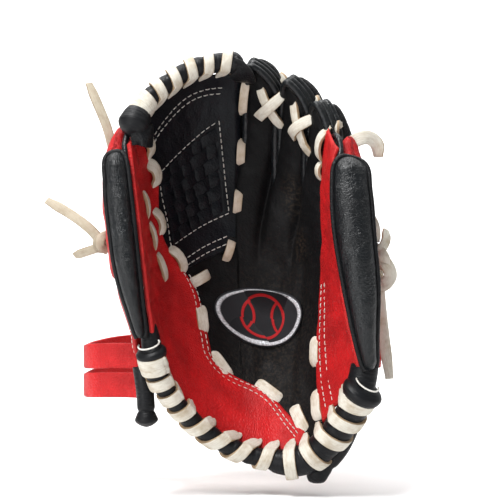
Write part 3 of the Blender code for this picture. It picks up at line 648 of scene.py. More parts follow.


# Patches mixed towards the palm's worn colour, each (c, v), reach and strength: two small scuff marks, and a
# broad lighter patch low in the palm that is partly wear and partly a painted sheen.
PALM_SCUFFS_AND_SHEEN = (((0.66, 0.7), 9.0, 0.2), ((0.69, 0.56), 7.0, 0.22), ((0.62, 0.24), 42.0, 0.13))

LOOK = {
    "red": leather("red_leather", rgb(0.52, 0.011, 0.013), rgb(0.6, 0.08, 0.06), 0.5,
                   pebble=0.17, crumple=0.25, wear=0.3),
    "black": leather("black_leather", rgb(0.007, 0.0075, 0.009), rgb(0.07, 0.06, 0.05), 0.42,
                     wear=0.15, shine=0.17),
    "palm": leather("palm_leather", rgb(0.0055, 0.0055, 0.006), rgb(0.1, 0.07, 0.045), 0.58,
                    pebble=0.06, wear=0.15, shine=0.1, scuffs_and_sheen=PALM_SCUFFS_AND_SHEEN),
    "gloss": leather("side_leather", rgb(0.004, 0.0055, 0.007), rgb(0.03, 0.03, 0.03), 0.36,
                     grain=1.8, pebble=0.11, crumple=0.2, coat=0.06, wear=0.05, shine=0.32),
    "web": leather("web_leather", rgb(0.004, 0.0055, 0.008), rgb(0.05, 0.05, 0.05), 0.4,
                   pebble=0.06, wear=0.15, shine=0.15),
    "lace": lace_leather("lace_leather", rgb(0.61, 0.585, 0.515), edge=rgb(0.28, 0.18, 0.09),
                         soiled=rgb(0.42, 0.36, 0.27)),
    "old_lace": lace_leather("aged_lace_leather", rgb(0.4, 0.35, 0.27), edge=rgb(0.2, 0.14, 0.08),
                             soiled=rgb(0.3, 0.25, 0.18)),
    # A darker copy of the lace, for the bits deep in the pocket: its colour is painted shade.
    "lace_painted_shade": lace_leather("shaded_lace_leather", rgb(0.52, 0.45, 0.37), edge=rgb(0.27, 0.18, 0.1),
                             soiled=rgb(0.38, 0.3, 0.21)),
    "thread": thread_material(),
    "lining": cloth_material("lining_suede", rgb(0.4, 0.25, 0.13), rgb(0.28, 0.17, 0.09)),
    "felt": cloth_material("grey_felt", rgb(0.3, 0.29, 0.27), rgb(0.2, 0.19, 0.18)),
    "tape": cloth_material("hook_tape", rgb(0.02, 0.02, 0.022), rgb(0.05, 0.05, 0.055), 0.5),
    "badge": badge_material(),
}

# The record's material slot for each look, in tables that are built but not kept or used.
dict.fromkeys(("black", "palm", "gloss", "web"), "black_leather")
dict.fromkeys(("lace", "old_lace", "lace_painted_shade", "thread"), "lace_leather")


# -------------------- how pieces follow the glove's bodies

# Each fold: the side body it turns, the way it lies from the middle, and how many millimetres out the
# leather starts to turn and has turned fully.
FOLDS = {"thumb_fold": ("thumb", (-0.9, -0.43, 0), 38.0, 64.0),
         "little_finger_fold": ("little_finger", (0.9, -0.43, 0), 46.0, 64.0)}


def settle(piece, follows, *nodes):
    """Lets the piece ride on a body, or, at a fold, bakes it where it lies without bending it, and lets it
    stand for CAD nodes.
    """
    if follows in FOLDS:
        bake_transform(piece)
    else:
        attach(piece, follows)
    if nodes:
        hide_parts(*nodes)


# -------------------- stitching and lace on the pattern


def pattern_path(points, spacing):
    """A smooth path on the pattern, resampled every `spacing` millimetres."""
    dense = smooth_curve(points, 600)
    length = run_length(at(dense[:, 0], dense[:, 1]) * 1000)
    return resample(dense, length, np.arange(0, length[-1], spacing))


def beside(path, offset_mm):
    """A path moved sideways on the flat pattern."""
    flat = np.asarray(path, float) * PATTERN
    step = unit(np.gradient(flat, axis=0))
    return (flat + np.stack([-step[:, 1], step[:, 0]], -1) * offset_mm) / PATTERN


# A stitch's length and the gap after it, in millimetres, and its form: places along it as shares of its
# length, how much of its radius it has there, and how far it lies off the leather.
STITCH, STITCH_GAP = 2.4, 0.8
STITCH_SHARES = np.array((0.0, 0.12, 0.5, 0.88, 1.0))
STITCH_SWELL = np.array((0.35, 0.9, 1.0, 0.9, 0.35))
STITCH_SINK = np.array((-0.45, -0.05, 0.12, -0.05, -0.45))


def add_stitches(batch, points, surface, radius, facing):
    """A row of thread stitches along a path of (c, v). surface gives the leather's d at c and v."""
    spacing, pitch = 0.1, STITCH + STITCH_GAP
    path = pattern_path(points, spacing)
    count = int(len(path) * spacing / pitch)
    marks = (np.arange(count)[:, None] * pitch + STITCH_SHARES * STITCH) / spacing
    spots = path[marks.astype(int).clip(0, len(path) - 1)]
    c, v = spots[..., 0], spots[..., 1]
    centre = at(c, v, surface(c, v) + STITCH_SINK * facing)
    up = normal_at(c, v)
    side = unit(np.cross(unit(centre[:, -1:] - centre[:, :1]), up))
    turns = full_turn(6)
    across, rise = np.cos(turns)[None, None, :, None], np.sin(turns)[None, None, :, None]
    ring = side[:, :, None] * across + up[:, :, None] * rise
    rings = centre[:, :, None] + ring * (STITCH_SWELL * radius)[None, :, None, None] * 0.001
    for k in range(count):
        pattern = np.broadcast_arrays(k * 5.0 + STITCH_SHARES[:, None] * 3, turns[None, :], 0.0)
        add_loft(batch, rings[k], np.stack(pattern, -1))


def stitched_rows(name, follows, rows, surface, radius, facing=1.0):
    """Several rows of stitches as one piece."""
    threads = Batch()
    for row in rows:
        add_stitches(threads, row, surface, radius, facing)
    threads.finish(name, "thread", follows)


def add_lace(batch, stops, width, seed, taper, samples=28):
    """A length of lace through pattern stops (c, v, d). The ends can narrow."""
    c, v, d = smooth_curve(stops, samples).T
    share = np.linspace(0, 1, samples)
    scale = [end + (1 - end) * smoothstep(along, 0, 0.38) for end, along in zip(taper, (share, 1 - share))]
    add_sweep(batch, at(c, v, d), normal_at(c, v), lace_section(width), np.minimum(*scale), seed)


# -------------------- the palm side

THREAD_RADIUS = 0.25

# Creases in the red leather at the root of the thumb, each from one (c, v) to another.
THUMB_CREASES = (((0.05, 0.2), (0.3, 0.3)), ((0.04, 0.33), (0.26, 0.42)), ((0.12, 0.5), (0.25, 0.53)))


def red_waves(c, v):
    return uneven(c, v, 3, (26, 0.32), (9, 0.1))


def red_heel():
    """The red leather that makes the heel and the front of the thumb."""
    rows = np.concatenate([np.linspace(0, 0.25, 70), np.linspace(0.25, 1, 120)[1:]])
    t, f = mesh_grid(rows, np.linspace(0, 1, 95))
    c = f * red_edge(t)
    low = low_edge(c)
    v = low + (0.975 - 0.06 * smoothstep(c, 0.05, 0.24) - low) * t
    d = 0.9 + smoothstep(c, 0.0, 0.07) * red_waves(c, v)
    d += groove(c, v, beside(smooth_curve(RED_EDGE, 120)[4:-6], -4.5), 0.45, 1.6)
    d += 1.3 * hump(distance_to(c, v, [(0.08, 0.1), (0.3, 0.12), (0.5, 0.08)]), 0, 11)
    d -= 0.7 * smoothstep(f, 0.95, 1.0)
    for a, b in THUMB_CREASES:
        bowed = ((a[0] + b[0]) / 2, (a[1] + b[1]) / 2 + 0.012)
        d += groove(c, v, [a, bowed, b], 0.55, 2.2)
    sheet("red_heel_leather", "red", c, v, d, 2.0, "thumb_fold", "heel_panel", "thumb_panel")

    edge = smooth_curve(RED_EDGE, 200)
    run = edge[(edge[:, 1] > 0.05) & (edge[:, 1] < 0.44)]
    stitched_rows("red_heel_stitching", "thumb_fold", [beside(run, inset) for inset in (2.0, 4.4)],
                  lambda c, v: 1.0 + red_waves(c, v), THREAD_RADIUS)


def red_little():
    """The red leather on the front of the little finger."""
    seam = 0.802
    t, f = mesh_grid(np.linspace(0, 1, 130), np.linspace(0, 1, 40))
    low = 0.035 + 0.03 * f
    c, v = seam + (1.0 - seam) * f, low + (0.975 - low) * t
    d = 0.8 + uneven(c, v, 7, (24, 0.3), (8, 0.1)) - 0.6 * smoothstep(1 - f, 0.93, 1.0)
    d += hump(f, 0.55, 0.3) * hump(t, 0.3, 0.3)
    sheet("red_little_finger_leather", "red", c, v, d, 2.0, "little_finger_fold", "little_finger_panel")
    rows = [[(seam + inset, v) for v in (0.06, 0.25, 0.45)] for inset in (0.0205, 0.039)]
    stitched_rows("red_little_finger_stitching", "little_finger_fold", rows, lambda c, v: 1.0, THREAD_RADIUS)


def finger_relief(c, v):
    """How the palm leather swells over each finger and dips between them."""
    relief = np.zeros(np.broadcast(c, v).shape)
    rise = smoothstep(v, 0.46, 0.64)
    c = c + 0.05 * smoothstep(0.9 - v, 0.0, 0.4) * smoothstep(0.78 - c, 0.0, 0.06)
    for low, high in FINGERS.values():
        middle, half = (low + high) / 2, (high - low) / 2
        inside = np.clip(1 - np.abs(c - middle) / half, 0, 1)
        relief += rise * 3.4 * np.sin(inside * math.pi / 2) ** 0.7 * (np.abs(c - middle) <= half)
        relief -= rise * 2.4 * hump(c, low, 1.6 / PATTERN[0])
    return relief - 0.8 * rise


def palm_level(c, v):
    """The d of the black palm leather, before its creases."""
    return finger_relief(c, v) - 1.0 + uneven(c, v, 11, (30, 0.35), (10, 0.12))


# How far across a fingertip its highest point is.
TIP_PEAK = 0.16


def finger_top(c):
    """The scalloped top edge over the three fingertips."""
    top = np.full(np.shape(c), 0.95)
    for low, high in FINGERS.values():
        share = np.clip((c - low) / (high - low), 0, 1)
        away = np.where(share < TIP_PEAK, (TIP_PEAK - share) / TIP_PEAK, (share - TIP_PEAK) / (1 - TIP_PEAK))
        arch = 0.925 + 0.064 * np.clip(1 - away**1.6, 0, 1) ** 0.625
        top = np.where((c >= low) & (c <= high), arch, top)
    return top


def black_palm():
    """The black leather of the pocket and the fronts of three fingers."""
    t, c = mesh_grid(np.linspace(0, 1, 200), np.linspace(0.3, 0.83, 210))
    on_finger = smoothstep(c, 0.5, 0.506)
    top = 0.55 * (1 - on_finger) + finger_top(c) * on_finger
    low = low_edge(c)
    v = low + (top - low) * t
    d = palm_level(c, v)
    for crease in ([(0.55, 0.16), (0.6, 0.3), (0.615, 0.5)], [(0.66, 0.12), (0.69, 0.3), (0.7, 0.5)]):
        d += groove(c, v, crease, 0.8, 3.0)
    d -= 1.4 * smoothstep(t, 0.975, 1.0) * on_finger
    sheet("black_palm_leather", "palm", c, v, d, 2.0, "little_finger_fold", "palm_shell")


BADGE_CENTRE, BADGE_REACH = (0.575, 0.352), (0.135, 0.078)


def badge():
    """The oval badge: a low dome, blunter than an ellipse and set a little askew."""
    r, a = mesh_grid(np.linspace(0, 1, 14)[1:], full_turn(72))
    x = r * np.sign(np.cos(a)) * np.abs(np.cos(a)) ** 0.92
    y = r * np.sin(a)
    c = BADGE_CENTRE[0] + BADGE_REACH[0] * x
    v = BADGE_CENTRE[1] + BADGE_REACH[1] * y + 0.006 * x
    level = palm_level(c, v)
    front = at(c, v, level + 0.75 + 0.35 * (1 - r**6))
    back = at(c[-1:], v[-1:], level[-1:] - 0.3)
    pattern = np.stack([x, y, 0 * x], -1)
    batch = Batch()
    add_loft(batch, np.concatenate([front, back]), np.concatenate([pattern, pattern[-1:] * 1.02]))
    batch.finish("oval_badge", "badge", "little_finger_fold", "palm_badge")


# -------------------- the web

# The woven window's corners, and how many strips run up it and across it.
WINDOW = np.array(((0.325, 0.497), (0.474, 0.612), (0.462, 0.84), (0.287, 0.725)))
STRIPS_UP, STRIPS_ACROSS = 5, 6


def in_window(p, q):
    """The (c, v) of a point of the woven window: p across, q up, each 0 to 1."""
    p, q = p[..., None], q[..., None]
    spot = (1 - q) * ((1 - p) * WINDOW[0] + p * WINDOW[1]) + q * ((1 - p) * WINDOW[3] + p * WINDOW[2])
    return spot.T


def add_weave(batch, level, lift, cup, seed, facing):
    """One layer of the basket weave, over and under: strips up the window, then strips across it."""
    for upwards, count, others, width, spare, samples in ((True, STRIPS_UP, STRIPS_ACROSS, 5.6, 0.02, 90),
                                                          (False, STRIPS_ACROSS, STRIPS_UP, 6.6, 0.03, 70)):
        along = np.linspace(-spare, 1 + spare, samples)
        section = lace_section(width, 0.7, cup)
        for k in range(count):
            still = np.full(samples, (k + 0.5) / count)
            c, v = in_window(still, along) if upwards else in_window(along, still)
            wave = lift * np.cos(math.pi * (along * others - 0.5 + k)) * (1 if upwards else -1)
            strip = seed + k + (0 if upwards else 20)
            add_sweep(batch, at(c, v, level + wave), normal_at(c, v) * facing, section, 1.0, strip)


def web_waves(c, v):
    return ripple(c, v, 21, 24, 0.25)


def web():
    """The web's leather, pressed in at the window, with the weave in it and the stitching round it."""
    t, f = mesh_grid(np.linspace(0, 1, 120), np.linspace(0, 1, 70))
    left = red_edge(0.47 + 0.51 * t) - 0.02
    c = left + (0.516 - left) * f
    bottom = np.interp(c, (0.25, 0.35, 0.42, 0.516), (0.44, 0.425, 0.47, 0.535))
    v = bottom + (0.972 - bottom) * t
    inside = np.ones(c.shape, bool)
    for a, b in zip(WINDOW, np.roll(WINDOW, -1, axis=0)):
        edge = (b - a) * PATTERN
        offset = (np.stack([c, v], -1) - a) * PATTERN
        inside &= edge[0] * offset[..., 1] - edge[1] * offset[..., 0] > 0
    near = distance_to(c, v, np.vstack([WINDOW, WINDOW[:1]]))
    d = -0.2 + web_waves(c, v) - 1.8 * np.where(inside, smoothstep(near, 0.0, 1.5), 0)
    d -= 1.2 * smoothstep(f, 0.95, 1.0)
    sheet("web_leather", "web", c, v, d, 1.8, "thumb_fold", "web_panel")

    strips = Batch()
    add_weave(strips, level=-0.9, lift=0.45, cup=0.25, seed=0, facing=1)
    add_weave(strips, level=-2.9, lift=0.35, cup=0.2, seed=40, facing=-1)
    strips.finish("web_weave_strips", "web", "thumb_fold", "web_weave")

    corners = [WINDOW[0] + (-0.012, -0.004), WINDOW[3] + (-0.008, 0.006), WINDOW[2] + (0.004, 0.014),
               WINDOW[1] + (0.012, 0.0)]
    rows = [[a, (a + b) / 2, b] for a, b in zip(corners, corners[1:] + corners[:1])]
    for line in ([(0.252, 0.84), (0.3, 0.878), (0.36, 0.91), (0.42, 0.928), (0.485, 0.932)],
                 [(0.36, 0.452), (0.4, 0.482), (0.44, 0.512), (0.5, 0.552)]):
        rows += [beside(smooth_curve(line, 80), side) for side in (-1.5, 1.5)]
    stitched_rows("web_stitching", "thumb_fold", rows, web_waves, 0.26)


# -------------------- rolls and wraps

# The middle of the pocket in design millimetres, which the rolls' leather comes from.
POCKET_MIDDLE = np.array((0.0, -52.0, 105.0))

# Where lace winds round the two rolls, as shares of their length.
HEEL_WRAPS = [0.05, 0.07, 0.122, 0.185, 0.25, 0.325, 0.405, 0.485, 0.565, 0.64, 0.715, 0.79, 0.862,
              0.93, 0.945]
WEB_WRAPS = [0.112, 0.138, 0.205, 0.27, 0.335, 0.4, 0.462]

# The leather that closes the gap between each end of the heel roll and the side panel above it: path, radius.
HEEL_HOODS = {"thumb": ([(-43, -62, 54), (-44, -62, 61), (-45, -61.5, 68), (-46, -61, 75)], 5.0),
              "little_finger": ([(53.5, -57.5, 36), (56, -57, 46), (57.5, -55, 56), (58.5, -53, 65)], 7.2)}


def heel_radius(share):
    """Stouter at the thumb's end, and growing towards the little finger."""
    return ROLL_RADIUS + 1.7 * (1 - smoothstep(share, 0.0, 0.2)) + 2.7 * smoothstep(share, 0.54, 0.66)


def heel_slant(share):
    """How far a turn of the heel's lace leans along the roll."""
    return 0.085 * hump(share, 0.42, 0.17) - 0.035 * float(smoothstep(share, 0.68, 0.76))


def roll_frame(edge, share):
    """The roll's centre line, direction, facing and way out of the leather, and its radius."""
    table = HEEL if edge == "heel" else CROWN
    radius = heel_radius(share) if edge == "heel" else np.full(np.shape(share), ROLL_RADIUS)
    point, step = lookup(table, share), 0.005
    ahead, behind = np.clip(share, 0, 1 - step) + step, np.clip(share, step, 1) - step
    along = unit(lookup(table, ahead) - lookup(table, behind))
    facing = unit(TOWARDS_VIEWER + along * along[..., 1:2])
    inwards = POCKET_MIDDLE - point
    inwards = inwards - along * np.sum(inwards * along, -1, keepdims=True)
    outwards = -unit(inwards - facing * np.sum(inwards * facing, -1, keepdims=True))
    centre = point + outwards * ((radius - ROLL_RADIUS) * 0.9)[..., None]
    return centre, along, facing, outwards, radius


def c_over(share, v):
    """The c that lies over a share of the heel or crown edge."""
    c = np.linspace(0, 1, 400)
    reached = 0.5 + 0.5 * np.sin((share_across(c, np.full(len(c), float(v))) - 0.5) * math.pi)
    return float(np.interp(share, reached, c))


def round_end(share_from_end, length, least=0.02):
    """Rounds off a free end. least keeps it open enough to cap."""
    return np.sqrt(np.clip(1 - (1 - np.clip(share_from_end / length, 0, 1)) ** 2, least, 1))


def add_roll(batch, edge, low, high, wraps, swell_low, swell_high, ball):
    """A padded leather roll, nipped in where lace winds round it and swollen like a ball at a free end."""
    share = np.linspace(low, high, int((high - low) * 480) + 8)
    point, _, facing, _, radius = roll_frame(edge, share)
    for wrap in wraps:
        radius = radius - 0.55 * hump(share, wrap, 0.016)
    radius = radius + 0.12 * np.sin(share * 140) + 0.1 * np.sin(share * 67 + 1)
    for swell, from_end in ((swell_low, share - low), (swell_high, high - share)):
        if swell:
            radius = (radius + swell * hump(from_end, ball * 0.6, ball)) * round_end(from_end, ball * 0.7)
    add_sweep(batch, place(point), facing, round_section(1.0, 28), radius)


def add_wrap(batch, edge, share, slant, seed, hole=11.5, width=LACE_WIDTH, last=225.0, rear=(0.5, -8.0)):
    """One turn of lace round a roll: out of a hole in the leather, over the roll, and in again behind.

    hole is how many millimetres the hole lies in from the edge, last the angle in degrees where the lace
    leaves the roll, and rear where it ends: the share of the way to the hole, and d.
    """
    edge_v, into = (0, 1) if edge == "heel" else (1, -1)
    angle = np.linspace(30, last, 22)
    turn = np.radians(angle)[:, None]
    centre_share = np.clip(share + slant * (0.1 - 0.75 * (angle - 30) / 195), 0.002, 0.998)
    point, _, facing, outwards, radius = roll_frame(edge, centre_share)
    c = c_over(np.clip(share + slant * 0.75, 0.004, 0.996), edge_v)
    reach = np.linspace(0, 0.3, 200)
    line = at(c, edge_v + into * reach) * 1000
    to_hole = into * float(np.interp(hole, np.linalg.norm(line - line[0], axis=1), reach))
    v_hole = edge_v + to_hole
    start = at(c, v_hole + np.array((0.8, -0.6, -2.4)) * to_hole / hole, (-1.4, 1.2, 2.0))
    spoke = facing * np.sin(turn) + outwards * -np.cos(turn)
    over = point + spoke * (radius + LACE_THICK / 2 - 0.15)[:, None]
    behind = at(c_over(centre_share[-1], edge_v), edge_v + to_hole * rear[0], rear[1])
    path = np.vstack([to_design(start), over, to_design(behind)])
    off_leather = normal_at(c, v_hole)
    up = np.vstack([off_leather, off_leather, unit(off_leather + spoke[0] * 0.3), spoke, spoke[-1]])
    length, along = run_length(path), np.linspace(0, 1, 60)
    up = unit(resample(up, length / length[-1], along))
    scale = 0.18 + 0.82 * smoothstep(along, -0.02, 0.24) - 0.3 * smoothstep(along, 0.85, 1)
    add_sweep(batch, place(smooth_curve(path, len(along))), up, lace_section(width), scale, seed)


def heel_binding():
    """The heel's roll and its lace, in two lengths that part where the glove folds."""
    for side, nodes, low, high, swell_low, swell_high in (
            ("thumb", ("thumb_side", "centre"), 0.0, 0.5, 1.2, 0.0),
            ("little_finger", ("little_side",), 0.5, 1.0, 0.0, 2.8)):
        roll, laces = Batch(), Batch()
        add_roll(roll, "heel", low, high, HEEL_WRAPS, swell_low, swell_high, ball=0.04)
        path, radius = HEEL_HOODS[side]
        size = (radius - 1.2 * np.linspace(0, 1, 50)) * round_end(np.linspace(1, 0, 50), 0.6)
        add_sweep(roll, place(smooth_curve(path, 50)), TOWARDS_VIEWER, round_section(1.0, 24), size, 3)
        for k, wrap in enumerate(HEEL_WRAPS):
            if low <= wrap < high:
                add_wrap(laces, "heel", wrap, heel_slant(wrap), k)
        for batch, kind, look in ((roll, "heel_roll_", "black"), (laces, "heel_lace_", "lace")):
            batch.finish(f"{kind}towards_{side}", look, side + "_fold", *(kind + node for node in nodes))


def roll_end_stitching():
    """The thread that closes each free end of the heel roll, seen as an arc round its neck."""
    for side, share, away in (("thumb", 0.004, -1.5), ("little_finger", 0.994, 1.5)):
        point, along, facing, outwards, radius = roll_frame("heel", np.array([share]))
        turn = np.linspace(-0.4, math.pi + 0.4, 60)[:, None]
        spoke = facing * np.sin(turn) + outwards * -np.cos(turn)
        ring = point + spoke * (radius[0] * 0.8) + along * away
        batch = Batch()
        add_sweep(batch, place(ring), spoke, round_section(0.42, 8))
        batch.finish("heel_roll_thread_" + side, "thread", side + "_fold")


def web_binding():
    """The roll along the top of the web, and its lace."""
    roll, laces = Batch(), Batch()
    add_roll(roll, "web", 0.012, 0.53, WEB_WRAPS, swell_low=3.2, swell_high=0.9, ball=0.066)
    for k, wrap in enumerate(WEB_WRAPS):
        add_wrap(laces, "web", wrap, slant=-0.03, seed=40 + k, hole=9.5, width=6.6 if k < 2 else 5.0,
                 last=285.0, rear=(0.95, -2.6))
    roll.finish("web_top_roll", "black", "thumb_fold", "web_roll")
    laces.finish("web_top_lace", "lace", "thumb_fold", "web_roll_lace")


# -------------------- laces across the pocket

# Where short lengths of lace show on the catching face, each from one (c, v) to another.
INDEX_BITS = [((0.525, 0.948), (0.522, 0.886)), ((0.519, 0.8), (0.517, 0.75)),
              ((0.512, 0.672), (0.506, 0.62)), ((0.49, 0.535), (0.476, 0.49))]
THUMB_BITS = [((0.19, 0.91), (0.238, 0.82)), ((0.222, 0.8), (0.252, 0.7)),
              ((0.232, 0.615), (0.268, 0.53)), ((0.31, 0.485), (0.352, 0.425))]
THUMB_SEAM_BITS = [((0.142, 0.705), (0.17, 0.59)), ((0.178, 0.575), (0.225, 0.475)),
                   ((0.232, 0.46), (0.275, 0.375))]
HEEL_BITS = [((0.402, 0.335), (0.408, 0.265)), ((0.432, 0.216), (0.469, 0.172)),
             ((0.556, 0.178), (0.624, 0.144)), ((0.68, 0.118), (0.71, 0.056))]
LITTLE_BITS = [((0.799, 0.27), (0.796, 0.2)), ((0.795, 0.128), (0.78, 0.06))]

# The black ends of the web's roll, folded down into the pocket: what each follows, its width, its taper at
# both ends, and its stops (c, v, d).
WEB_FOLDS = {
    "web_end_fold": ("palm", 11.0, (0.8, 0.55),
                     [(0.49, 1.0, -3.0), (0.502, 1.0, 4.0), (0.516, 0.994, 5.4),
                      (0.524, 0.98, 4.4), (0.526, 0.968, 2.2), (0.526, 0.953, -1.5)]),
    "web_thumb_end_fold": ("thumb_fold", 10.5, (0.8, 0.6),
                           [(0.05, 1.0, 1.0), (0.085, 0.992, 6.0), (0.13, 0.965, 8.0), (0.175, 0.94, 7.0),
                            (0.21, 0.925, 3.5), (0.23, 0.92, -1.0)]),
}

# The crossed laces between the fingers: the arm below, then the arm over it.
CROSSES = {"index_middle": (((0.562, 0.955), (0.616, 0.888)), ((0.562, 0.885), (0.606, 0.948))),
           "middle_ring": (((0.653, 0.958), (0.735, 0.855)), ((0.66, 0.876), (0.712, 0.944)))}


def add_bit(batch, ends, width, seed, lift, sink=-2.6, bend=0.0, taper=0.45):
    """A short length of lace that comes out of the leather at one (c, v) and goes in again at another."""
    a, b = np.array(ends)
    step = b - a
    sideways = np.array((-step[1], step[0])) * bend
    share = np.array((-0.22, 0.0, 0.25, 0.5, 0.75, 1.0, 1.22))
    edge = (lift + sink) / 2 + 0.4
    height = np.array((sink, edge, lift * 0.85, lift, lift * 0.85, edge, sink))
    spots = a + step * share[:, None] + sideways * np.sin(np.clip(share, 0, 1) * math.pi)[:, None]
    add_lace(batch, np.column_stack([spots, height]), width, seed, taper=(taper, taper))


def pocket_laces():
    for k, (name, (follows, width, taper, stops)) in enumerate(WEB_FOLDS.items()):
        batch = Batch()
        add_lace(batch, stops, width, seed=5 + k, samples=40, taper=taper)
        batch.finish(name, "black", follows)

    batch = Batch()
    for k, bit in enumerate(INDEX_BITS):
        add_bit(batch, bit, 4.4, 60 + k, 1.6, taper=0.75)
    # These bits take the darker lace, which paints the pocket's shade into their colour.
    batch.finish("web_to_index_lace", "lace_painted_shade", "palm", "web_index_lace")

    batch = Batch()
    for k, bit in enumerate(THUMB_BITS):
        add_bit(batch, bit, 6.6 if k < 2 else 5.2, 70 + k, 3.0 if k < 2 else 2.3, bend=0.1)
    add_bit(batch, ((0.385, 0.4), (0.425, 0.432)), 5.6, 75, 1.0, taper=0.85)
    for k, bit in enumerate(THUMB_SEAM_BITS):
        add_bit(batch, bit, 4.6, 76 + k, 2.2, bend=-0.08, taper=0.3)
    batch.finish("web_to_thumb_lace", "lace", "thumb_fold", "web_thumb_lace_upper", "web_thumb_lace_lower")

    for name, bits, follows in (("heel_edge_lace", HEEL_BITS, "thumb_fold"),
                                ("little_finger_edge_lace", LITTLE_BITS, "little_finger_fold")):
        batch = Batch()
        for k, bit in enumerate(bits):
            add_bit(batch, bit, 6.2, 80 + k, 0.6, -3.0, taper=0.1)
        batch.finish(name, "lace", follows)


def tip_laces():
    for name, (under, over) in CROSSES.items():
        batch = Batch()
        add_bit(batch, under, 5.0, 100, 3.6, taper=0.55)
        add_bit(batch, over, 5.6, 101, 5.1, taper=0.8)
        follows = "little_finger_fold" if name == "middle_ring" else "palm"
        batch.finish(name + "_cross_lace", "lace", follows, name + "_lace")
    batch = Batch()
    add_bit(batch, ((0.797, 0.955), (0.799, 0.865)), 4.8, 103, 2.6, taper=0.4)
    add_bit(batch, ((0.799, 0.85), (0.803, 0.79)), 4.6, 104, 2.0, taper=0.4)
    batch.finish("ring_to_little_lace", "lace", "little_finger_fold")
    batch = Batch()
    for c, v in ((0.603, 0.975), (0.697, 0.972), (0.795, 0.965)):
        stops = [(c - 0.012, v, -10.0), (c - 0.004, v + 0.006, -6.5), (c + 0.008, v - 0.004, -5.5),
                 (c + 0.012, v - 0.03, -7.0)]
        add_lace(batch, stops, 4.2, 110, taper=(0.6, 0.6))
    batch.finish("fingertip_lace", "lace", "palm")


# -------------------- fingers, sides and back

# The three rolled seams side by side over each fingertip: d, how far in from the next finger, and radius.
WELTS = ((-1.7, 0.007, 1.9), (-4.9, 0.006, 1.9), (-8.0, 0.007, 1.7))

# How squarely a finger's padding fills its leather: 2 would be an ellipse.
FINGER_SQUARENESS = 2.6


def finger_back(name, look, c_range, v_range, front_d, seed, follows, node):
    """The padded back of one finger, rounded over its tip. front_d is the d where it starts."""
    (low, high), (base, tip) = c_range, v_range
    sides = 44
    share, turns = np.linspace(0, 1, 60), full_turn(sides)
    close = round_end(1 - share, 0.16, 0.015)[:, None]
    x, y = np.cos(turns)[None, :], np.sin(turns)[None, :]
    grow = (np.abs(x) ** FINGER_SQUARENESS + np.abs(y) ** FINGER_SQUARENESS) ** (-1 / FINGER_SQUARENESS)
    middle, half = (low + high) / 2, (high - low) / 2
    lean = (0.5 - TIP_PEAK) * 1.6 * half * (1 - close)
    c = middle - lean + (half - 0.006) * close * x * grow
    v = np.broadcast_to((base + (tip - base) * share)[:, None], c.shape)
    back_d = -thickness(middle, v) - 0.6
    d = (front_d + back_d) / 2 + (front_d - back_d) / 2 * close * y * grow
    d = d - (y < 0) * ripple(c, v, seed, 22, 0.35)
    rings = at(c, v, d)
    batch = Batch()
    add_loft(batch, rings, np.stack([c * PATTERN[0] + 40 * (y < 0), v * PATTERN[1], 0 * c], -1))
    piece = batch.make(name, look)
    stuff(piece, [tuple(ring[k]) for ring in rings for k in (0, sides // 2)])
    settle(piece, follows, node)


def add_seam(batch, over, crest, base, d, radius, seed):
    """A rolled seam from v base up one side of a finger, over its tip at c over and v crest, and down."""
    leg, below = 30, 0.004
    c = np.concatenate([np.full(leg, over[0]), over, np.full(leg, over[-1])])
    v = np.concatenate([np.linspace(base, crest[0] - below, leg), crest,
                        np.linspace(crest[-1] - below, base, leg)])
    sunk = d - 3.0 * (1 - smoothstep(v, 0.6, 0.8))
    add_sweep(batch, at(c, v, sunk), normal_at(c, v), round_section(radius, 12), 1.0, seed)


def finger_welts(finger, follows):
    low, high = FINGERS[finger]
    batch = Batch()
    for level, (d, inset, radius) in enumerate(WELTS):
        over = np.linspace(low + inset, high - inset, 44)
        add_seam(batch, over, finger_top(over) + 0.004 - 0.002 * level, FINGER_BASE, d, radius, level)
    batch.finish(finger + "_finger_seams", "gloss", follows, finger + "_finger_welt")


def side_finger_seam(body, low, high):
    """The rolled seam round the thumb or the little finger."""
    turn = np.linspace(0, math.pi, 40)
    over = (low + high) / 2 - ((high - low) / 2 - 0.01) * np.cos(turn)
    crest = 0.925 + 0.06 * np.sin(math.pi * (turn / math.pi) ** 0.8)
    batch = Batch()
    add_seam(batch, over, crest, 0.6, -2.4, 1.45, 0)
    batch.finish(body + "_seam", "gloss", body)


def side_frame(edge, v):
    """At an outer seam: the seam in design millimetres, the pocket's normal, and the way out of the glove."""
    point, normal = to_design(at(edge, v)), normal_at(edge, v)
    away = point - to_design(at(0.03 if edge == 0 else 0.97, v))
    return point, normal, unit(away - normal * np.sum(away * normal, -1, keepdims=True))


def soften(path):
    """Takes small kinks out of a path, and keeps its ends."""
    reach = 7
    kernel = np.hanning(2 * reach + 1) / np.hanning(2 * reach + 1).sum()
    padded = np.vstack([np.tile(path[0], (reach, 1)), path, np.tile(path[-1], (reach, 1))])
    return np.stack([np.convolve(column, kernel, "valid") for column in padded.T], -1)


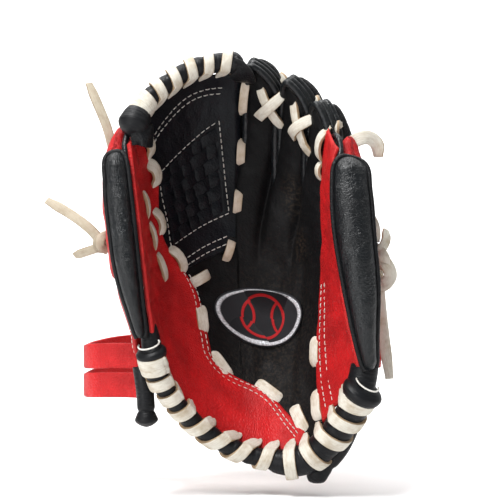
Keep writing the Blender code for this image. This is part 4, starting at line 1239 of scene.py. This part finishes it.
def side_pad(body, edge, v_range, bulge, tuck, slim, seed):
    """The padded outer side panel at c edge, with piping along both seams.

    bulge is how far it stands out and tuck how far it keeps behind the catching face, in millimetres.
    slim is its share of full width at the heel.
    """
    share = np.linspace(0, 1, 80)
    v = v_range[0] + (v_range[1] - v_range[0]) * share
    point, normal, away = side_frame(edge, v)
    thick = thickness(float(edge), np.clip(v, 0, 0.8)) - 0.8 * smoothstep(v, 0.8, 1.0)
    ends = round_end(1 - share, 0.09, 0.01) * round_end(share, 0.03, 0.4)
    widest = 1.06 + 0.5 * (1 - slim) * edge
    half = (thick - tuck) / 2 * ends * (slim + (widest - slim) * smoothstep(v, 0.02, 0.75))
    rise = bulge * (0.8 + 0.25 * np.sin(math.pi * share)) * ends
    centre = point - normal * ((thick + tuck) / 2)[:, None] + away * 0.4

    arc = np.linspace(0, math.pi, 30)
    returning = arc[::-1][1:-1]
    dent = uneven(arc[None, :] * 0.1, v[:, None], seed, (20, 0.4), (8, 0.16)) * np.sin(arc)
    full = rise[:, None] * np.sin(arc) ** 0.8 + dent
    across = np.concatenate([arc, returning])
    out = np.concatenate([full, np.full((len(v), len(returning)), -0.3)], 1)
    rings = centre[:, None] + normal[:, None] * (half[:, None] * np.cos(across))[..., None]
    rings = place(rings + away[:, None] * out[..., None])
    pattern = np.broadcast_arrays(across * 8 + 20 * edge, v[:, None] * PATTERN[1], 0.0)
    batch = Batch()
    add_loft(batch, rings, np.stack(pattern, -1))
    piece = batch.make(body + "_side_leather", "gloss")
    stuff(piece, [tuple(ring[k]) for ring in rings for k in (0, 1, 28, 29)], pressure=220.0)
    settle(piece, body, body + "_side_panel")

    reach = (half + 0.45)[:, None]
    lift = away * (1.0 + 0.12 * rise)[:, None]
    front, back = centre + normal * reach + lift, centre - normal * reach + lift
    path = soften(smooth_curve(np.vstack([front[:-1], back[::-1][1:]]), 260))
    out = lookup(np.vstack([away, away[::-1]]), np.linspace(0, 1, len(path)))
    batch = Batch()
    add_sweep(batch, place(path), unit(out), round_section(1.15, 12))
    batch.finish(body + "_side_piping", "black", body, body + "_piping")


def back_sheet(name, body, look, c_range, v_range, node, seed, arch=0.0, left=(0.0, 0.1), right=(0.0, 0.1),
               slope=0.0):
    """A leather panel on the back, sewn along its two long edges. Its lower edge can arch.

    left and right say how many millimetres each side is drawn towards the palm, and over what width of c.
    slope is how far the upper edge falls towards the thumb.
    """
    t, f = mesh_grid(np.linspace(0, 1, 60), np.linspace(0, 1, 90))
    c = c_range[0] + (c_range[1] - c_range[0]) * f
    low = v_range[0] + arch * np.abs(2 * f - 1) ** 2.4
    high = v_range[1] - slope * smoothstep(1 - f, 0.5, 1.0)
    v = low + (high - low) * t
    thick = 2.6

    def front(c, v):
        drawn = left[0] * smoothstep(c_range[0] + left[1] - c, 0, left[1])
        drawn = drawn + right[0] * smoothstep(c - c_range[1] + right[1], 0, right[1])
        return 2.2 - thickness(c, v) + ripple(c, v, seed, 24, 0.3) + drawn

    sheet(name, look, c, v, front(c, v), thick, body, node)
    rows = [np.stack([c[row, 3:-3:8], v[row, 3:-3:8]], -1) for row in (3, 56)]
    stitched_rows(name + "_stitching", body, rows, lambda c, v: front(c, v) - thick, 0.3, -1.0)


def back_of_glove():
    for k, (finger, (low, high)) in enumerate(FINGERS.items()):
        follows = "little_finger_fold" if finger == "ring" else "palm"
        finger_back(finger + "_finger_back", "black", (low, high), (FINGER_BASE - 0.01, 0.985), -6.2, 30 + k,
                    follows, finger + "_finger_stall")
        finger_welts(finger, follows)
    finger_back("thumb_back", "red", (0.012, 0.238), (0.335, 0.988), -3.4, 35, "thumb", "thumb_stall")
    finger_back("little_finger_back", "red", (0.83, 0.99), (0.375, 0.988), -3.4, 36, "little_finger",
                "little_finger_stall")
    side_finger_seam("thumb", 0.0, 0.245)
    side_finger_seam("little_finger", 0.815, 1.0)
    back_sheet("back_leather", "palm", "black", (0.262, 0.79), (0.36, 0.53), "back_panel", 41, arch=0.07,
               left=(9.0, 0.14), right=(2.6, 0.07), slope=0.07)
    back_sheet("thumb_heel_back_leather", "thumb", "red", (0.025, 0.252), (0.09, 0.35), "thumb_heel_back", 42,
               right=(3.0, 0.03))
    back_sheet("little_heel_back_leather", "little_finger", "red", (0.814, 0.975), (0.09, 0.39),
               "little_heel_back", 43, left=(3.0, 0.03))
    side_pad("thumb", 0, (0.03, 0.95), bulge=7.6, tuck=2.4, slim=0.95, seed=50)
    side_pad("little_finger", 1, (0.035, 0.955), bulge=8.4, tuck=0.8, slim=0.84, seed=53)


# -------------------- wrist

# The straps' course seen from above, in design millimetres, and how far the lower strap lies below the upper.
STRAP_PATH = [(-52, -30), (-72, -24), (-82, -8), (-77, 12), (-56, 30), (-22, 36), (22, 36), (50, 29),
              (65, 12), (68, -8), (67, -22)]
STRAP_DROP = 14.5

# The straps' ends, tucked in under each side: the upper strap's course, then the lower's.
STRAP_ENDS = {"thumb": ([(-54, -28.5), (-50, -36), (-47, -43.5)],) * 2,
              "little_finger": ([(67, -20), (64.5, -31), (60, -39)], [(61.6, -20), (60.5, -29), (58, -35)])}

# The rolls along the hand opening, which show behind the heel.
OPENING_ROLLS = {"thumb_side": ("thumb", [(-46.8, -52, 20), (-47.6, -52, 36), (-49.5, -51, 49)]),
                 "little_side": ("little_finger", [(31, -40, -8), (46.5, -42, 9), (56, -45, 33)])}


def band(name, body, first, last, drop, node, push=0.0):
    """A strap round the back of the wrist between two shares of its course, gently uneven.

    drop is how far it lies below the upper strap, and push how far out, in millimetres.
    """
    course = smooth_curve([(x, y, 0) for x, y in STRAP_PATH])
    share, step = np.linspace(first, last, int((last - first) * 132) + 2), 0.01
    along = unit(lookup(course, share + step) - lookup(course, share - step))
    outwards = unit(np.cross((0.0, 0.0, 1.0), along))
    path = lookup(course, share) + outwards * push
    path[:, 2] = ORIGIN[2] - drop + 0.5 * np.sin(share * 23) - 1.8 * hump(share, 0.16, 0.1)
    batch = Batch()
    add_sweep(batch, place(path), outwards, strap_section(12.5, 2.0), 1 - 0.1 * hump(share, 0.175, 0.03))
    batch.finish(name, "red", body, node)


def wrist():
    band("upper_wrist_band", "palm", 0, 1, 0.0, "upper_band")
    band("lower_wrist_strap", "wrist_strap", 0, 0.75, STRAP_DROP, "wrist_strap")
    band("strap_anchor", "palm", 0.57, 1, STRAP_DROP, "strap_tab", push=-5.4)
    for node in ("hook_patch", "loop_patch"):
        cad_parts[node].data.materials[0] = LOOK["tape"]

    share = np.linspace(-1, 1, 31)
    batch = Batch()
    path = np.stack([share * 15, 0 * share + 39.2, 0 * share + ORIGIN[2]], -1)
    add_sweep(batch, place(path), (0.0, 1.0, 0.0), strap_section(12.5, 1.6), 1 - 0.22 * np.abs(share) ** 14)
    batch.finish("wrist_band_patch", "black", "palm", "back_patch")

    for side, ends in STRAP_ENDS.items():
        batch = Batch()
        for drop, points in zip((0.0, STRAP_DROP), ends):
            path = smooth_curve([(x, y, ORIGIN[2] - drop) for x, y in points], 24)
            outwards = np.cross(np.gradient(path, axis=0), (0.0, 0.0, 1.0))
            add_sweep(batch, place(path), unit(outwards), strap_section(12.0, 1.9))
        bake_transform(batch.make("strap_ends_" + side, "red"))

    for side, (body, points) in OPENING_ROLLS.items():
        share = np.linspace(0, 1, 60)
        size = 4.3 * (1 + 0.32 * hump(share, 0.11, 0.08)) * round_end(share, 0.13)
        size -= 0.6 * hump(share, 0.26, 0.025)
        batch = Batch()
        add_sweep(batch, place(smooth_curve(points, 60)), TOWARDS_VIEWER, round_section(1.0, 24), size)
        batch.finish("opening_edge_roll_" + side, "black", body, "opening_roll_" + side)


# -------------------- loose lace

# Each loose end or knot: its body, its CAD node, its look, and its strips. A strip has its path in design
# millimetres, its width, how far it twists, and its turn at the start in radians.
LOOSE_LACES = {
    "thumb_tip_lace_end": ("thumb", "thumb_tip_tail", "old_lace", [
        ([(-64, -41, 152), (-67, -42, 164), (-72, -40, 176), (-76.5, -36, 186)], 4.6, 0.5, 0.0)]),
    "thumb_lace_end_long": ("thumb_tails", "thumb_tail_long", "old_lace", [
        ([(-69.5, -41, 108), (-76, -40, 115), (-86, -34, 122), (-98.5, -27, 129)], 4.8, 0.7, -0.3)]),
    "thumb_lace_end_short": ("thumb_tails", "thumb_tail_short", "old_lace", [
        ([(-69.5, -41, 106), (-76, -38, 104), (-84, -32, 101.5)], 4.4, -0.5, 0.0)]),
    "thumb_lace_knot": ("thumb_tails", "thumb_tail_knot", "old_lace", [
        ([(-66.5, -42, 104), (-69.5, -45, 106), (-69.5, -45, 110), (-66.5, -41, 111.5), (-67, -38, 107)],
         4.4, 0.0, 0.0),
        ([(-67, -39, 110.5), (-71, -43, 110), (-71.5, -42, 105.5), (-67.5, -39, 104.5)], 4.0, 0.0, 0.0)]),
    "little_finger_lace_curl": ("little_finger", "little_finger_curl", "lace", [
        ([(48, -46, 153), (53, -47, 157), (59, -46, 158.5), (63.5, -44, 155.5), (64.5, -42, 149.5)],
         6.6, 1.1, -0.5)]),
    "little_finger_lace_knot": ("little_finger", "little_finger_knot", "lace", [
        ([(58.5, -50, 122), (61.5, -52, 116), (62.5, -50, 108)], 5.0, 0.0, 0.0),
        ([(61.5, -50, 103), (65, -52, 105), (67.5, -49, 109), (68, -45, 114)], 4.6, 0.6, 0.0),
        ([(61.5, -49, 106), (65.5, -53, 102), (67, -51, 97), (63.5, -48, 99)], 5.2, 0.4, 0.0),
        ([(62, -50, 101), (67, -52, 98), (69.5, -50, 92), (66, -49, 87.5), (62.5, -48, 91), (62.5, -47, 97)],
         6.2, 0.0, 0.0)]),
    "little_finger_lace_end": ("little_finger_tail", "little_finger_tail", "lace", [
        ([(63.5, -47, 96), (64.5, -47, 84), (66.5, -45, 66), (69.8, -43, 42)], 5.4, 0.3, 0.0)]),
}


def add_strip(batch, points, width, twist, start, seed):
    """Lace along a free path, its flat face towards the catching side but for the start's turn."""
    path, share = smooth_curve(points, 60), np.linspace(0, 1, 60)
    tangent = unit(np.gradient(path, axis=0))
    across = unit(np.cross(tangent, TOWARDS_VIEWER))
    flat = unit(np.cross(across, tangent))
    spin = (start + twist * share)[:, None]
    up = flat * np.cos(spin) + across * np.sin(spin)
    narrowed = 1 - 0.25 * smoothstep(share, 0.8, 1)
    add_sweep(batch, place(path), up, lace_section(width, 1.4, 0.3), narrowed, seed)


def loose_laces():
    for name, (body, node, look, strips) in LOOSE_LACES.items():
        batch = Batch()
        for k, strip in enumerate(strips):
            add_strip(batch, *strip, seed=k + len(name))
        batch.finish(name, look, body, node)


# -------------------- what shows only in the gaps


def hidden_layers():
    t, f = mesh_grid(np.linspace(0, 1, 60), np.linspace(0, 1, 70))
    c, v = 0.262 + (0.79 - 0.262) * f, 0.03 + 0.46 * t
    sheet("palm_suede_lining", "lining", c, v, -8.0 + ripple(c, v, 60, 20, 0.3), 1.2, "palm", "palm_lining")
    for node in ("palm_pad", "thumb_heel_pad", "little_heel_pad", "thumb_side_core",
                 "little_finger_side_core"):
        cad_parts[node].data.materials[0] = LOOK["felt"]


# -------------------- the studio

# The backdrop in metres: how far it runs in front, behind and to each side, its bend, and its height.
FLOOR_FRONT, FLOOR_BACK, FLOOR_SIDE, FLOOR_BEND, BACKDROP_HEIGHT = -1.6, 1.4, 2.2, 0.35, 1.2

# The camera in design millimetres, and the half width it sees at a distance, also in millimetres.
CAMERA_PLACE = (2.35, -640.0, 104.34)
HALF_WIDTH_SEEN, SEEN_DISTANCE = 117.5, 580.0


def area_light(name, location, target, size, power):
    data = bpy.data.lights.new(name, "AREA")
    data.size, data.energy = size, power
    light = bpy.data.objects.new(name, data)
    light.location = location
    light.rotation_euler = (Vector(target) - light.location).to_track_quat("-Z", "Y").to_euler()
    bpy.context.scene.collection.objects.link(light)


def backdrop(ground):
    """A pale floor that curves up behind the glove."""
    profile = [(FLOOR_FRONT, 0.0), (FLOOR_BACK - FLOOR_BEND, 0.0)]
    profile += [(FLOOR_BACK - FLOOR_BEND + FLOOR_BEND * math.sin(a), FLOOR_BEND - FLOOR_BEND * math.cos(a))
                for a in np.linspace(0, math.pi / 2, 12)]
    profile.append((FLOOR_BACK, BACKDROP_HEIGHT))
    points = [(x, y, z + ground) for x in (-FLOOR_SIDE, FLOOR_SIDE) for y, z in profile]
    mesh = bpy.data.meshes.new("studio_floor")
    mesh.from_pydata(points, [], [face[::-1] for face in grid_faces(2, len(profile))])
    mesh.shade_smooth()
    shade = Shader("pale_floor")
    grey = rgb(0.88, 0.88, 0.88)
    mesh.materials.append(shade.finish(Base_Color=grey, Roughness=0.9, Specular_IOR_Level=0.1))
    floor = bpy.data.objects.new("studio_floor", mesh)
    bpy.context.scene.collection.objects.link(floor)


def studio():
    low, high = (Vector(corner) for corner in CAD_BOX)
    middle = (low + high) / 2
    backdrop(low.z - 0.004)
    area_light("key_light", middle + Vector((-0.28, -0.42, 0.9)), middle, size=0.4, power=15)
    area_light("fill_light", middle + Vector((-0.6, -0.9, 0.1)), middle, size=0.5, power=5)
    area_light("backdrop_light", (0.0, 0.45, 1.0), (0.0, 1.3, 0.1), size=1.2, power=26)
    world = bpy.data.worlds.new("soft_white")
    world.use_nodes = True
    sky = world.node_tree.nodes["Background"]
    sky.inputs["Color"].default_value = (1, 1, 1, 1)
    sky.inputs["Strength"].default_value = 0.32
    bpy.context.scene.world = world

    data = bpy.data.cameras.new("camera")
    data.sensor_width = 36.0
    data.lens = data.sensor_width / 2 / (HALF_WIDTH_SEEN / SEEN_DISTANCE)
    camera = bpy.data.objects.new("camera", data)
    camera.location = place(CAMERA_PLACE)
    camera.rotation_euler = (math.pi / 2, 0, 0)
    bpy.context.scene.collection.objects.link(camera)
    bpy.context.scene.camera = camera
    bpy.context.scene.view_settings.view_transform = "Standard"


red_heel()
red_little()
black_palm()
badge()
web()
heel_binding()
roll_end_stitching()
web_binding()
pocket_laces()
tip_laces()
back_of_glove()
wrist()
loose_laces()
hidden_layers()
studio()
